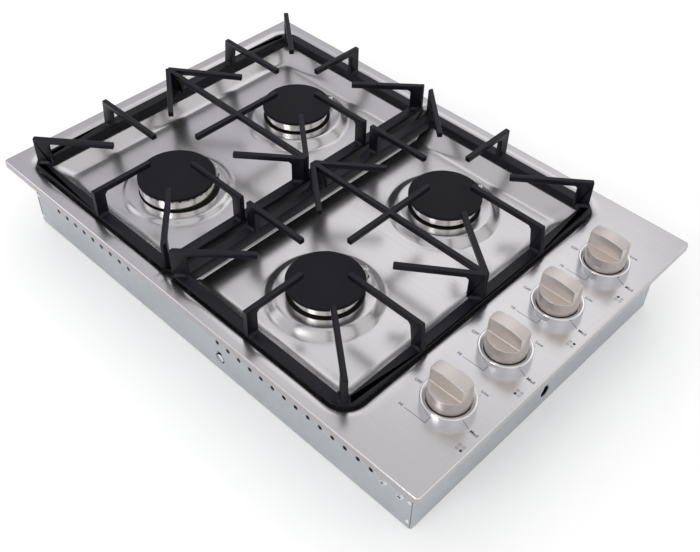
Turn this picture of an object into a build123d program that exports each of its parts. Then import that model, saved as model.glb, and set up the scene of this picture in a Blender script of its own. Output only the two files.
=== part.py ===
"""Built-in gas cooktop, four burners, 24 in wide, with the controls in a strip on the right.

X runs to the user's right, Y to the back and Z up. The origin lies under the middle of the
top plate, level with the underside of the burner box. All sizes are in millimetres.
"""

from build123d import *
from math import cos, hypot, radians, sin, sqrt
import os

os.makedirs("parts", exist_ok=True)

# ---------------------------------------------------------------- driving sizes
# Top plate: one pressed sheet of brushed stainless steel
plate_width = 609.6
plate_depth = 428.0
plate_top = 90.5
plate_sheet = 1.0
plate_corner_radius = 4.5
plate_edge_radius = 1.6
lip_height = 10.0

# Burner pan pressed into the plate, by the width of the flat margins left round it
left_margin = 14.8
control_strip_width = 94.8
front_margin = 14.5
pan_drop = 22.0
pan_wall_run = 34.0
pan_rim_corner = 25.0
pan_floor_corner = 12.0
pan_rim_crease = 5.0
pan_fold_radius = 5.0

# Stiffening rib between the two pairs of burners
rib_right_of_pan_middle = 1.0
rib_base_width = 24.0
rib_crown_width = 16.0
rib_height = 8.5
rib_crown_radius = 2.5

# Burner grid, by the distance from the pan's side and front edges to the burners' centres
burner_from_pan_side = 134.0
burner_from_pan_front = 108.0
boss_foot_radius = 61.5

# Control strip
knob_from_plate_edge = 46.0
knob_pitch = 81.0
knob_count = 4

# Burner box: galvanised tray below the plate
box_inside_plate_side = 17.3
box_inside_plate_front = 19.5
box_sheet = 1.0
box_bend_radius = 2.5
joggle_start = 80.5
joggle_out = 8.0
box_flange_width = 6.5
vent_radius = 2.75
vent_height = 41.5
vent_pitch = 16.0
vent_row_counts = (9, 14)
vent_from_box_left = 44.5
vent_from_box_right = 50.5
keyhole_x = 31.0
keyhole_right_y = 3.0
keyhole_height = 19.0
keyhole_head_radius = 6.5
keyhole_slot_radius = 3.0
keyhole_slot_rise = 9.5

# Worktop seal: foam strip under the rim of the plate
seal_width = 6.0
seal_below_lip = 0.4
seal_from_lip = 1.0

# Cast-iron grates
grate_inner_gap = 4.6
grate_side_gap = 6.0
grate_front_gap = 4.2
bar_width = 13.0
bar_top_above_plate = 2.0
bar_drop_below_plate = 11.0
bar_over_pan_wall = 2.6
bar_outer_corner = 22.0
bar_centre_corner = 5.0
bar_chamfer = 1.0
finger_top_above_plate = 33.6
finger_width = 5.8
finger_height = 6.0
finger_tip_radius = 32.0
finger_chamfer = 0.8
diagonal_tip_radius = 65.0
diagonal_post_width = 16.0
post_inner_chamfer = 3.0
post_flare = 2.4
post_flare_slope = 45.0
outer_post_lean = 3.5
outer_post_inset = 4.0
corner_post_inset = (8.5, 7.8)
centre_corner_post_inset = 2.7
foot_radius = 4.5
foot_from_rib = 30.0
foot_from_side = 34.0

# Burners: cup, flame ring, cap
cap_thickness = 3.4
cap_dome = 1.0
cap_edge = 0.8
cap_skirt_depth = 3.0
cap_skirt_wall = 2.0
ring_wall = 5.0
ring_floor = 3.0
ring_bore_radius = 13.0
spigot_radius = 17.0
spigot_length = 9.0
port_width = 1.8
port_depth = 2.2
cup_flange = 2.5
cup_flange_overlap = 8.0
cup_seat_radius = 32.0
cup_body_radius = 27.0
cup_wall = 4.0
cup_bottom = 44.5
holder_radius = 9.0
holder_bottom = 22.0
holder_neck_radius = 6.0
holder_neck_reach = 15.0
jet_radius = 4.0
jet_length = 8.0
jet_tip = 3.0

# Spark electrodes
electrode_circle = 45.5
electrode_angle = 71.0
electrode_hole_radius = 3.6
ceramic_radius = 2.2
ceramic_bottom = 52.0
ceramic_below_cap = 2.0
ceramic_collar_radius = 4.0
ceramic_collar = 3.0
spark_pin_radius = 0.8
spark_pin_length = 4.0

# Valves, rail and manifold
valve_radius = 11.0
valve_bottom = 20.0
valve_flange_side = 24.0
valve_flange = 3.0
plug_radius = 6.0
plug_bottom = 50.0
plug_length = 21.0
plug_end_play = 0.4
valve_neck_radius = 6.0
valve_neck_reach = 20.0
inlet_neck_radius = 7.0
stem_radius = 3.0
stem_bottom = 66.0
stem_flat = 0.8
rail_top = 80.5
rail_sheet = 1.5
rail_left_of_knobs = 15.0
rail_right_of_knobs = 25.0
rail_lip = 6.0
rail_tab_width = 32.0
rail_tab_bottom = 30.0
rail_stem_hole = 8.0
rail_screw_height = 40.0
rail_screws_from_knobs = (-6.4, 13.7)
manifold_left_of_knobs = 22.8
manifold_height = 64.0
manifold_radius = 8.0
manifold_bore_radius = 6.0
manifold_cap = 3.0
manifold_before_knobs = 28.5
feed_height = 30.0
feed_radius = 4.0
feed_bend_radius = 24.0
feed_bend_start = {
    "left_front": 100.0,
    "left_back": 100.0,
    "right_front": 62.0,
    "right_back": 78.0,
}
feed_bend_run = {
    "left_front": 45.0,
    "left_back": 40.0,
    "right_front": 40.0,
    "right_back": 45.0,
}
feed_nut_flat = 13.0
feed_nut_length = 9.0

# Gas inlet, half-inch pipe thread
inlet_thread_radius = 10.48
inlet_thread_length = 14.5
inlet_collar_flat = 27.0
inlet_collar = 4.0
inlet_sleeve_inside = 9.0
inlet_grip = 6.0

# Knobs and bezels
knob_radius = 20.6
knob_draft = 1.6
knob_base_above_plate = 5.0
knob_shelf_above_plate = 24.0
knob_top_above_plate = 38.0
knob_shelf_half_width = 7.3
knob_shelf_middle_half_width = 7.2
knob_grip_end_half_width = 7.0
knob_grip_middle_half_width = 4.0
knob_edge = 0.6
knob_hollow_radius = 16.5
knob_hollow_depth = 8.0
knob_hub_radius = 6.5
stem_in_knob = 16.0
bezel_radius = 26.0
bezel_bore_radius = 21.3
bezel_height = 10.3
bezel_crown_chamfer = 1.3

# Screws
screw_head_radius = 4.0
screw_head_height = 2.2
screw_head_draft = 25.0
screw_shank_radius = 1.9
screw_length = 5.0

# Ignition
switch_length = 24.0
switch_width = 18.0
switch_height = 6.5
switch_hole_radius = 5.0
module_left_of_knobs = 78.8
module_from_box_back = 29.5
module_length = 60.0
module_width = 40.0
module_height = 24.0
module_corner_radius = 2.0
module_terminal_pitch = 8.0
module_terminal_radius = 2.0
module_terminal_length = 4.0
lead_radius = 1.75
lead_height = 3.0
lead_bend_radius = 18.0
lead_rise_radius = 12.0
lead_aisle = {
    "right_front": 49.0,
    "right_back": 38.0,
    "left_front": 175.0,
    "left_back": 45.0,
}
lead_turn = {"right_front": 43.0, "left_front": 71.5}
harness_left_of_knobs = 34.8
gland_taper = 20.0
harness_radius = 2.0
harness_bend_radius = 12.0
gland_left_of_knobs = 108.8
gland_height = 45.0
gland_hole_radius = 7.0
gland_flange_radius = 10.0
gland_flange = 3.0
gland_bore_radius = 3.6
gland_inside = 8.0

# Clearances
running_gap = 0.05
fit_gap = 0.1
seat_gap = 0.3
stem_hole_gap = 2.5

# ---------------------------------------------------------------- worked-out places and levels
pan_left = left_margin - plate_width / 2
pan_right = plate_width / 2 - control_strip_width
pan_centre_x = (pan_left + pan_right) / 2
pan_width = pan_right - pan_left
pan_half_depth = plate_depth / 2 - front_margin
rib_x = pan_centre_x + rib_right_of_pan_middle
burner_from_rib = pan_width / 2 - burner_from_pan_side
burner_half_pitch = pan_half_depth - burner_from_pan_front
box_width = plate_width - 2 * box_inside_plate_side
box_depth = plate_depth - 2 * box_inside_plate_front
grate_outer_reach = pan_width / 2 - grate_side_gap
grate_half_depth = pan_half_depth - grate_front_gap
knob_x = plate_width / 2 - knob_from_plate_edge
manifold_x = knob_x - manifold_left_of_knobs
rail_screw_xs = [knob_x + offset for offset in rail_screws_from_knobs]
gland_x = knob_x - gland_left_of_knobs
pan_slope = pan_drop / pan_wall_run
pan_floor = plate_top - pan_drop
plate_underside = plate_top - plate_sheet
lip_bottom = plate_top - lip_height
bar_top = plate_top + bar_top_above_plate
finger_top = plate_top + finger_top_above_plate
knob_ys = [(index - (knob_count - 1) / 2) * knob_pitch for index in range(knob_count)]
manifold_front = knob_ys[0] - manifold_before_knobs
rail_underside = rail_top - rail_sheet

# Each burner: centre, then levels above the plate top and radii that differ by size.
# The left front burner is the rapid one: wider, and seated lower in the pan.
SMALL = dict(
    boss_drop=14.7,
    boss_crown_radius=52.0,
    hole_radius=40.0,
    ring_radius=37.0,
    ring_drop=12.0,
    cap_radius=40.3,
    cap_under=1.7,
    ports=28,
)
RAPID = dict(
    boss_drop=19.2,
    boss_crown_radius=57.0,
    hole_radius=46.0,
    ring_radius=42.3,
    ring_drop=18.8,
    cap_radius=43.0,
    cap_under=5.4,
    ports=32,
)
BURNERS = {
    "left_front": dict(RAPID, x=rib_x - burner_from_rib, y=-burner_half_pitch, knob=1),
    "left_back": dict(SMALL, x=rib_x - burner_from_rib, y=burner_half_pitch, knob=3),
    "right_front": dict(SMALL, x=rib_x + burner_from_rib, y=-burner_half_pitch, knob=0),
    "right_back": dict(SMALL, x=rib_x + burner_from_rib, y=burner_half_pitch, knob=2),
}


def electrode_place(burner):
    """Plan position of a burner's spark electrode, behind it and to the right."""
    turn = radians(electrode_angle)
    return (
        burner["x"] + electrode_circle * cos(turn),
        burner["y"] + electrode_circle * sin(turn),
    )


def pan_space(raised, low, high, fold=0.0):
    """Tapering space inside the pan wall when that wall is raised, between two levels."""
    with BuildPart() as space:
        for level in (low, high):
            inset = (plate_top + raised - level) / pan_slope
            corner = pan_rim_corner + (pan_floor_corner - pan_rim_corner) * inset / pan_wall_run
            with BuildSketch(Plane((pan_centre_x, 0, level))):
                RectangleRounded(pan_width - 2 * inset, 2 * (pan_half_depth - inset), corner)
        loft(ruled=True)
        if fold:
            fillet(space.edges().group_by(Axis.Z)[0], fold)
    return space.part


# ---------------------------------------------------------------- top plate
sheet_on_slope = plate_sheet * sqrt(1 + pan_slope**2)
pan_hollow = pan_space(0, pan_floor, plate_top, pan_fold_radius)
pan_skin = pan_space(
    -sheet_on_slope, pan_floor - plate_sheet, plate_underside, pan_fold_radius + plate_sheet
)
rib_side_slope = (rib_base_width - rib_crown_width) / 2 / rib_height
rib_sheet_inset = plate_sheet * (sqrt(1 + rib_side_slope**2) - rib_side_slope)
rib_half_length = pan_half_depth - pan_wall_run + rib_height / pan_slope

with BuildPart() as top_plate:
    with BuildSketch(Plane.XY.offset(lip_bottom)):
        RectangleRounded(plate_width, plate_depth, plate_corner_radius)
    extrude(amount=lip_height)
    fillet(top_plate.faces().sort_by(Axis.Z)[-1].edges(), plate_edge_radius)
    with BuildSketch(Plane.XY.offset(lip_bottom)):
        RectangleRounded(
            plate_width - 2 * plate_sheet,
            plate_depth - 2 * plate_sheet,
            plate_corner_radius - plate_sheet,
        )
    extrude(amount=lip_height - plate_sheet, mode=Mode.SUBTRACT)
    add(pan_skin)
    add(pan_hollow, mode=Mode.SUBTRACT)
    rim = top_plate.faces().sort_by(Axis.Z)[-1].inner_wires()[0]
    fillet(rim.edges(), pan_rim_crease)
    # Rib: pressed up between the burner pairs, hollow from below
    for inset, shorter, action in (
        (0.0, 0.0, Mode.ADD),
        (rib_sheet_inset, plate_sheet, Mode.SUBTRACT),
    ):
        with BuildSketch(Plane.XZ):
            with BuildLine():
                Polyline(
                    (rib_x - rib_base_width / 2 + inset, pan_floor - shorter),
                    (rib_x - rib_crown_width / 2 + inset, pan_floor + rib_height - shorter),
                    (rib_x + rib_crown_width / 2 - inset, pan_floor + rib_height - shorter),
                    (rib_x + rib_base_width / 2 - inset, pan_floor - shorter),
                    close=True,
                )
            rib_section = make_face()
            fillet(rib_section.vertices().group_by(Axis.Z)[-1], rib_crown_radius)
        extrude(amount=rib_half_length - shorter, both=True, mode=action)
    # Bosses: a low hollow cone under each burner, with the burner's hole in its flat crown
    for burner in BURNERS.values():
        crown_radius = burner["boss_crown_radius"]
        rise = pan_drop - burner["boss_drop"]
        side_slope = (boss_foot_radius - crown_radius) / rise
        inset = plate_sheet * (sqrt(1 + side_slope**2) - side_slope)
        for level, shrink, action in (
            (pan_floor, 0, Mode.ADD),
            (pan_floor - plate_sheet, inset, Mode.SUBTRACT),
        ):
            with Locations((burner["x"], burner["y"], level)):
                Cone(
                    boss_foot_radius - shrink,
                    crown_radius - shrink,
                    rise,
                    align=(Align.CENTER, Align.CENTER, Align.MIN),
                    mode=action,
                )
        with BuildSketch(Plane.XY.offset(plate_top)):
            with Locations((burner["x"], burner["y"])):
                Circle(burner["hole_radius"])
            with Locations(electrode_place(burner)):
                Circle(electrode_hole_radius)
        extrude(amount=-pan_drop - plate_sheet, mode=Mode.SUBTRACT)
    with BuildSketch(Plane.XY.offset(plate_top)):
        with Locations(*[(knob_x, y) for y in knob_ys]):
            Circle(stem_radius + stem_hole_gap)
    extrude(amount=-plate_sheet, mode=Mode.SUBTRACT)
top_plate.part.label = "top_plate"
export_step(top_plate.part, "parts/top_plate.step")

# ---------------------------------------------------------------- worktop seal
with BuildPart() as worktop_seal:
    with BuildSketch(Plane.XY.offset(lip_bottom - seal_below_lip)):
        outer_inset = plate_sheet + seal_from_lip
        for inset, action in ((outer_inset, Mode.ADD), (outer_inset + seal_width, Mode.SUBTRACT)):
            RectangleRounded(
                plate_width - 2 * inset,
                plate_depth - 2 * inset,
                plate_corner_radius - plate_sheet,
                mode=action,
            )
    extrude(amount=plate_underside - box_sheet - lip_bottom + seal_below_lip)
worktop_seal.part.label = "worktop_seal"
export_step(worktop_seal.part, "parts/worktop_seal.step")

# ---------------------------------------------------------------- burner box
joggle_end = joggle_start + joggle_out
joggle_sheet_drop = box_sheet * (sqrt(2) - 1)
flange_out = joggle_out + box_flange_width
vent_places = []
for end, count, from_side in zip((-1, 1), vent_row_counts, (vent_from_box_left, vent_from_box_right)):
    row_start = end * (box_width / 2 - from_side)
    vent_places += [
        (row_start - end * index * vent_pitch, vent_height) for index in range(count)
    ]

with BuildPart() as burner_box:
    # Outside of the folded sheet: tray, outward joggle past the pan's rim, flat flange
    with BuildSketch():
        RectangleRounded(box_width, box_depth, box_bend_radius)
    extrude(amount=joggle_start)
    for level, out in ((joggle_start, 0), (joggle_end, joggle_out)):
        with BuildSketch(Plane.XY.offset(level)):
            RectangleRounded(box_width + 2 * out, box_depth + 2 * out, box_bend_radius)
    loft(ruled=True)
    with BuildSketch(Plane.XY.offset(joggle_end)):
        RectangleRounded(
            box_width + 2 * flange_out, box_depth + 2 * flange_out, box_bend_radius
        )
    extrude(amount=box_sheet)
    # Inside of the sheet
    inner_radius = box_bend_radius - box_sheet
    inner_start = joggle_start + joggle_sheet_drop
    inner_width = box_width - 2 * box_sheet
    inner_depth = box_depth - 2 * box_sheet
    with BuildSketch(Plane.XY.offset(box_sheet)):
        RectangleRounded(inner_width, inner_depth, inner_radius)
    extrude(amount=inner_start - box_sheet, mode=Mode.SUBTRACT)
    for level, out in ((inner_start, 0), (joggle_end + box_sheet, flange_out - box_flange_width)):
        with BuildSketch(Plane.XY.offset(level)):
            RectangleRounded(inner_width + 2 * out, inner_depth + 2 * out, inner_radius)
    loft(ruled=True, mode=Mode.SUBTRACT)
    # Row of vents and a keyhole in the front wall
    with BuildSketch(Plane.XZ.offset(box_depth / 2)):
        with Locations(*vent_places):
            Circle(vent_radius)
        with Locations((keyhole_x, keyhole_height)):
            Circle(keyhole_head_radius)
            with Locations((0, keyhole_slot_rise / 2)):
                Rectangle(2 * keyhole_slot_radius, keyhole_slot_rise)
        with Locations(*[(x, rail_screw_height) for x in rail_screw_xs]):
            Circle(screw_shank_radius + fit_gap)
    extrude(amount=-box_sheet, mode=Mode.SUBTRACT)
    # Keyhole in the right wall
    with BuildSketch(Plane.YZ.offset(box_width / 2)):
        with Locations((keyhole_right_y, keyhole_height)):
            Circle(keyhole_head_radius)
            with Locations((0, keyhole_slot_rise / 2)):
                Rectangle(2 * keyhole_slot_radius, keyhole_slot_rise)
    extrude(amount=-box_sheet, mode=Mode.SUBTRACT)
    # Back wall: rail screws, gas inlet and cord gland
    with BuildSketch(Plane.XZ.offset(-box_depth / 2)):
        with Locations(*[(x, rail_screw_height) for x in rail_screw_xs]):
            Circle(screw_shank_radius + fit_gap)
        with Locations((manifold_x, manifold_height)):
            Circle(inlet_thread_radius + seat_gap)
        with Locations((gland_x, gland_height)):
            Circle(gland_hole_radius + fit_gap)
    extrude(amount=box_sheet, mode=Mode.SUBTRACT)
burner_box.part.label = "burner_box"
export_step(burner_box.part, "parts/burner_box.step")

# ---------------------------------------------------------------- grates
above_pan_wall = pan_space(bar_over_pan_wall, plate_top - bar_drop_below_plate, finger_top)


def finger_routes():
    """Every finger of a grate: post, tip, post width and lean, as distance from the rib and y."""
    burner_x = burner_from_rib
    outer_tip_x = burner_x + finger_tip_radius
    centre_tip_x = burner_x - finger_tip_radius
    outer_post_x = grate_outer_reach - outer_post_inset
    corner_x, corner_y = corner_post_inset
    routes = []
    for side in (-1, 1):
        burner_y = side * burner_half_pitch
        edge_y = side * grate_half_depth
        edge_tip_y = burner_y + side * finger_tip_radius
        # Straight fingers from the outer bar, the centre bar and the front or back bar
        routes += [
            (outer_post_x, burner_y, outer_tip_x, burner_y, bar_width, outer_post_lean),
            (grate_inner_gap, burner_y, centre_tip_x, burner_y, bar_width, 0),
            (burner_x, edge_y, burner_x, edge_tip_y, bar_width, 0),
        ]
        # Diagonal fingers from the corners and from the middle of both side bars
        for post_x, post_y in (
            (grate_outer_reach - corner_x, side * (grate_half_depth - corner_y)),
            (grate_inner_gap, side * (grate_half_depth - centre_corner_post_inset)),
            (outer_post_x, 0),
            (grate_inner_gap, 0),
        ):
            away = hypot(post_x - burner_x, post_y - burner_y)
            tip_x = burner_x + (post_x - burner_x) * diagonal_tip_radius / away
            tip_y = burner_y + (post_y - burner_y) * diagonal_tip_radius / away
            routes.append((post_x, post_y, tip_x, tip_y, diagonal_post_width, 0))
    return routes


def grate_castings(side):
    """One grate, on the left (-1) or right (1) of the rib."""
    centre_x = rib_x + side * (grate_inner_gap + grate_outer_reach) / 2
    length = grate_outer_reach - grate_inner_gap
    routes = [
        (rib_x + side * x0, y0, rib_x + side * x1, y1, post, lean)
        for x0, y0, x1, y1, post, lean in finger_routes()
    ]
    long_bar_reaches = (grate_inner_gap, grate_outer_reach - outer_post_inset)
    long_bar_ends = [rib_x + side * reach for reach in long_bar_reaches]
    arm_x = rib_x + side * burner_from_rib
    arm_reach = burner_half_pitch - finger_tip_radius
    with BuildPart() as grate:
        # Frame: its underside follows the sloping wall of the pan
        with BuildSketch(Plane.XY.offset(plate_top - bar_drop_below_plate)):
            with Locations((centre_x, 0)):
                for shrink, action in ((0, Mode.ADD), (bar_width, Mode.SUBTRACT)):
                    Rectangle(length - 2 * shrink, 2 * (grate_half_depth - shrink), mode=action)
        extrude(amount=bar_top - plate_top + bar_drop_below_plate)
        upright = grate.edges().filter_by(Axis.Z)
        outer_edges = upright.group_by(lambda e: side * e.center().X)
        fillet(outer_edges[-1], bar_outer_corner)
        fillet(outer_edges[-2], bar_outer_corner - bar_width)
        fillet(outer_edges[0], bar_centre_corner)
        add(above_pan_wall, mode=Mode.INTERSECT)
        chamfer(grate.faces().sort_by(Axis.Z)[-1].edges(), bar_chamfer)
        # Fingers, each with its post on the frame
        for post_x, post_y, tip_x, tip_y, post_width, lean in routes:
            reach = hypot(tip_x - post_x, tip_y - post_y)
            along = ((tip_x - post_x) / reach, (tip_y - post_y) / reach, 0)
            under = finger_top - finger_height
            across = (along[1], -along[0], 0)
            with BuildSketch(Plane((post_x, post_y, 0), x_dir=along, z_dir=across)):
                with BuildLine():
                    Polyline(
                        (-lean, bar_top - bar_chamfer),
                        (0, finger_top),
                        (reach, finger_top),
                        (reach, under),
                        (post_width + post_inner_chamfer, under),
                        (post_width, under - post_inner_chamfer),
                        (post_width - lean, bar_top - bar_chamfer),
                        close=True,
                    )
                make_face()
            extrude(amount=finger_width / 2, both=True)
            # Flare where the post meets the bar
            with BuildSketch(Plane((post_x, post_y, bar_top), x_dir=along, z_dir=(0, 0, 1))):
                with Locations((post_width / 2 - lean, 0)):
                    Rectangle(post_width - 2 * bar_chamfer, finger_width + 2 * post_flare)
            extrude(amount=post_flare, taper=post_flare_slope)
        # Long bar across the middle and the arm that crosses it
        with BuildSketch(Plane.XY.offset(finger_top - finger_height)):
            with Locations((sum(long_bar_ends) / 2, 0)):
                Rectangle(abs(long_bar_ends[1] - long_bar_ends[0]), finger_width)
            with Locations((arm_x, 0)):
                Rectangle(finger_width, 2 * arm_reach)
        extrude(amount=finger_height)
        # Posts end flush with the outline of the frame
        with BuildSketch(Plane.XY.offset(plate_top - bar_drop_below_plate)):
            with Locations((centre_x, 0)):
                Rectangle(length, 2 * grate_half_depth)
        extrude(amount=finger_top - plate_top + bar_drop_below_plate, mode=Mode.INTERSECT)
        chamfer(grate.faces().sort_by(Axis.Z)[-1].edges(), finger_chamfer)
    return grate


feet_seat = pan_space(seat_gap, pan_floor, plate_top)
feet_top = pan_space(bar_over_pan_wall, pan_floor, plate_top)


def grate_rubber_feet(side, casting):
    """Wedge-shaped rubber pads between a grate's bars and the wall of the pan."""
    foot_y = grate_half_depth - bar_width / 2
    foot_reaches = (foot_from_rib, grate_outer_reach - foot_from_side)
    places = [(rib_x + side * reach, y) for reach in foot_reaches for y in (-foot_y, foot_y)]
    with BuildPart() as feet:
        with BuildSketch(Plane.XY.offset(pan_floor)):
            with Locations(*places):
                Circle(foot_radius)
        extrude(amount=pan_drop)
        add(feet_seat, mode=Mode.INTERSECT)
        add(casting, mode=Mode.SUBTRACT)
        add(feet_top, mode=Mode.SUBTRACT)
    return feet


for side, name in ((-1, "left"), (1, "right")):
    grate = grate_castings(side)
    grate.part.label = f"grate_{name}"
    export_step(grate.part, f"parts/grate_{name}.step")
    feet = grate_rubber_feet(side, grate.part)
    feet.part.label = f"grate_feet_{name}"
    export_step(feet.part, f"parts/grate_feet_{name}.step")

# ---------------------------------------------------------------- burners
for place, burner in BURNERS.items():
    centre = (burner["x"], burner["y"], 0)
    upright = Plane(centre, x_dir=(1, 0, 0), z_dir=(0, -1, 0))
    spin = Axis(centre, (0, 0, 1))
    cap_low = plate_top - burner["cap_under"]
    cap_high = cap_low + cap_thickness
    ring_low = plate_top - burner["ring_drop"]
    ring_radius = burner["ring_radius"]
    flange_top = plate_top - burner["boss_drop"] - plate_sheet
    flange_radius = burner["hole_radius"] + cup_flange_overlap

    # Cap: cast-iron disc, slightly domed, with a locating skirt inside the ring
    with BuildPart() as burner_cap:
        skirt_radius = ring_radius - ring_wall - seat_gap
        with BuildSketch(upright):
            with BuildLine():
                crest = (0, cap_high + cap_dome)
                shoulder = (burner["cap_radius"] - cap_edge, cap_high)
                dome_radius = (shoulder[0] ** 2 + cap_dome**2) / (2 * cap_dome)
                half_way = shoulder[0] / 2
                fall = dome_radius - sqrt(dome_radius**2 - half_way**2)
                ThreePointArc(shoulder, (half_way, crest[1] - fall), crest)
                Polyline(
                    shoulder,
                    (burner["cap_radius"], cap_high - cap_edge),
                    (burner["cap_radius"], cap_low),
                    (skirt_radius, cap_low),
                    (skirt_radius, cap_low - cap_skirt_depth),
                    (skirt_radius - cap_skirt_wall, cap_low - cap_skirt_depth),
                    (skirt_radius - cap_skirt_wall, cap_low),
                    (0, cap_low),
                    crest,
                )
            make_face()
        revolve(axis=spin)
    burner_cap.part.label = f"burner_cap_{place}"
    export_step(burner_cap.part, f"parts/burner_cap_{place}.step")

    # Flame ring: aluminium bowl with ports cut in its rim and a spigot below
    with BuildPart() as flame_ring:
        with BuildSketch(upright):
            with BuildLine():
                Polyline(
                    (ring_radius, cap_low),
                    (ring_radius, ring_low),
                    (spigot_radius, ring_low),
                    (spigot_radius, ring_low - spigot_length),
                    (ring_bore_radius, ring_low - spigot_length),
                    (ring_bore_radius, ring_low + ring_floor),
                    (ring_radius - ring_wall, ring_low + ring_floor),
                    (ring_radius - ring_wall, cap_low),
                    close=True,
                )
            make_face()
        revolve(axis=spin)
        with BuildSketch(Plane.XY.offset(cap_low)):
            with Locations((burner["x"], burner["y"])):
                with PolarLocations(ring_radius - ring_wall / 2, burner["ports"]):
                    Rectangle(2 * ring_wall, port_width)
        extrude(amount=-port_depth, mode=Mode.SUBTRACT)
    flame_ring.part.label = f"flame_ring_{place}"
    export_step(flame_ring.part, f"parts/flame_ring_{place}.step")

    # Cup: black die casting clamped under the plate, with the mixing throat and jet holder
    with BuildPart() as burner_cup:
        throat = spigot_radius + seat_gap
        throat_low = ring_low - spigot_length - seat_gap
        with BuildSketch(upright):
            with BuildLine():
                Polyline(
                    (cup_seat_radius, ring_low - seat_gap),
                    (cup_seat_radius, flange_top),
                    (flange_radius, flange_top),
                    (flange_radius, flange_top - cup_flange),
                    (cup_body_radius, flange_top - cup_flange),
                    (cup_body_radius, cup_bottom),
                    (holder_radius, cup_bottom),
                    (holder_radius, holder_bottom),
                    (0, holder_bottom),
                    (0, cup_bottom + cup_wall - jet_length),
                    (jet_radius + fit_gap, cup_bottom + cup_wall - jet_length),
                    (jet_radius + fit_gap, cup_bottom + cup_wall),
                    (cup_body_radius - cup_wall, cup_bottom + cup_wall),
                    (cup_body_radius - cup_wall, throat_low),
                    (throat, throat_low),
                    (throat, ring_low - seat_gap),
                    close=True,
                )
            make_face()
        revolve(axis=spin)
        with BuildSketch(Plane((burner["x"], burner["y"], feed_height), z_dir=(1, 0, 0))):
            Circle(holder_neck_radius)
        extrude(amount=holder_neck_reach)
        with BuildSketch(Plane.XY.offset(flange_top)):
            with Locations(electrode_place(burner)):
                Circle(ceramic_radius + fit_gap)
        extrude(amount=-cup_flange, mode=Mode.SUBTRACT)
    burner_cup.part.label = f"burner_cup_{place}"
    export_step(burner_cup.part, f"parts/burner_cup_{place}.step")

# ---------------------------------------------------------------- jets and electrodes
jet_seat = cup_bottom + cup_wall - jet_length
with BuildPart() as gas_jets:
    for burner in BURNERS.values():
        with Locations((burner["x"], burner["y"], jet_seat)):
            Cylinder(jet_radius, jet_length, align=(Align.CENTER, Align.CENTER, Align.MIN))
        with Locations((burner["x"], burner["y"], jet_seat + jet_length)):
            Cone(
                jet_radius,
                jet_radius / 2,
                jet_tip,
                align=(Align.CENTER, Align.CENTER, Align.MIN),
            )
gas_jets.part.label = "gas_jets"
export_step(gas_jets.part, "parts/gas_jets.step")

with BuildPart() as electrode_ceramics:
    for burner in BURNERS.values():
        flange_low = plate_top - burner["boss_drop"] - plate_sheet - cup_flange
        top = plate_top - burner["cap_under"] - ceramic_below_cap
        x, y = electrode_place(burner)
        with Locations((x, y, ceramic_bottom)):
            Cylinder(
                ceramic_radius,
                top - ceramic_bottom,
                align=(Align.CENTER, Align.CENTER, Align.MIN),
            )
        with Locations((x, y, flange_low)):
            Cylinder(
                ceramic_collar_radius,
                ceramic_collar,
                align=(Align.CENTER, Align.CENTER, Align.MAX),
            )
electrode_ceramics.part.label = "electrode_ceramics"
export_step(electrode_ceramics.part, "parts/electrode_ceramics.step")

with BuildPart() as spark_pins:
    for burner in BURNERS.values():
        x, y = electrode_place(burner)
        with Locations((x, y, plate_top - burner["cap_under"] - ceramic_below_cap)):
            Cylinder(
                spark_pin_radius,
                spark_pin_length,
                align=(Align.CENTER, Align.CENTER, Align.MIN),
            )
spark_pins.part.label = "spark_pins"
export_step(spark_pins.part, "parts/spark_pins.step")

# ---------------------------------------------------------------- valve rail
rail_left = knob_x - rail_left_of_knobs
rail_right = knob_x + rail_right_of_knobs
rail_centre_x = (rail_left + rail_right) / 2
rail_width = rail_right - rail_left
rail_half_length = box_depth / 2 - box_sheet
with BuildPart() as valve_rail:
    with BuildSketch(Plane.XY.offset(rail_underside)):
        with Locations((rail_centre_x, 0)):
            Rectangle(rail_width, 2 * rail_half_length)
    extrude(amount=rail_sheet)
    # Lips along both long edges
    for edge_x in (rail_left + rail_sheet / 2, rail_right - rail_sheet / 2):
        with BuildSketch(Plane.XY.offset(rail_underside)):
            with Locations((edge_x, 0)):
                Rectangle(rail_sheet, 2 * rail_half_length)
        extrude(amount=-rail_lip)
    # Tabs folded down the front and back walls of the box
    for end in (-1, 1):
        with BuildSketch(Plane.XY.offset(rail_underside)):
            with Locations((rail_centre_x, end * (rail_half_length - rail_sheet / 2))):
                Rectangle(rail_tab_width, rail_sheet)
        extrude(amount=rail_tab_bottom - rail_underside)
        with BuildSketch(Plane.XZ.offset(-end * rail_half_length)):
            with Locations(*[(x, rail_screw_height) for x in rail_screw_xs]):
                Circle(screw_shank_radius + fit_gap)
        extrude(amount=end * rail_sheet, mode=Mode.SUBTRACT)
    with BuildSketch(Plane.XY.offset(rail_top)):
        with Locations(*[(knob_x, y) for y in knob_ys]):
            Circle(rail_stem_hole)
    extrude(amount=-rail_sheet, mode=Mode.SUBTRACT)
valve_rail.part.label = "valve_rail"
export_step(valve_rail.part, "parts/valve_rail.step")

with BuildPart() as rail_screws:
    for end in (-1, 1):
        wall = end * box_depth / 2
        for x in rail_screw_xs:
            facing = Plane((x, wall, rail_screw_height), z_dir=(0, end, 0))
            with BuildSketch(facing):
                Circle(screw_head_radius)
            extrude(amount=screw_head_height, taper=screw_head_draft)
            with BuildSketch(facing):
                Circle(screw_shank_radius)
            extrude(amount=-screw_length)
rail_screws.part.label = "rail_screws"
export_step(rail_screws.part, "parts/rail_screws.step")

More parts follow.
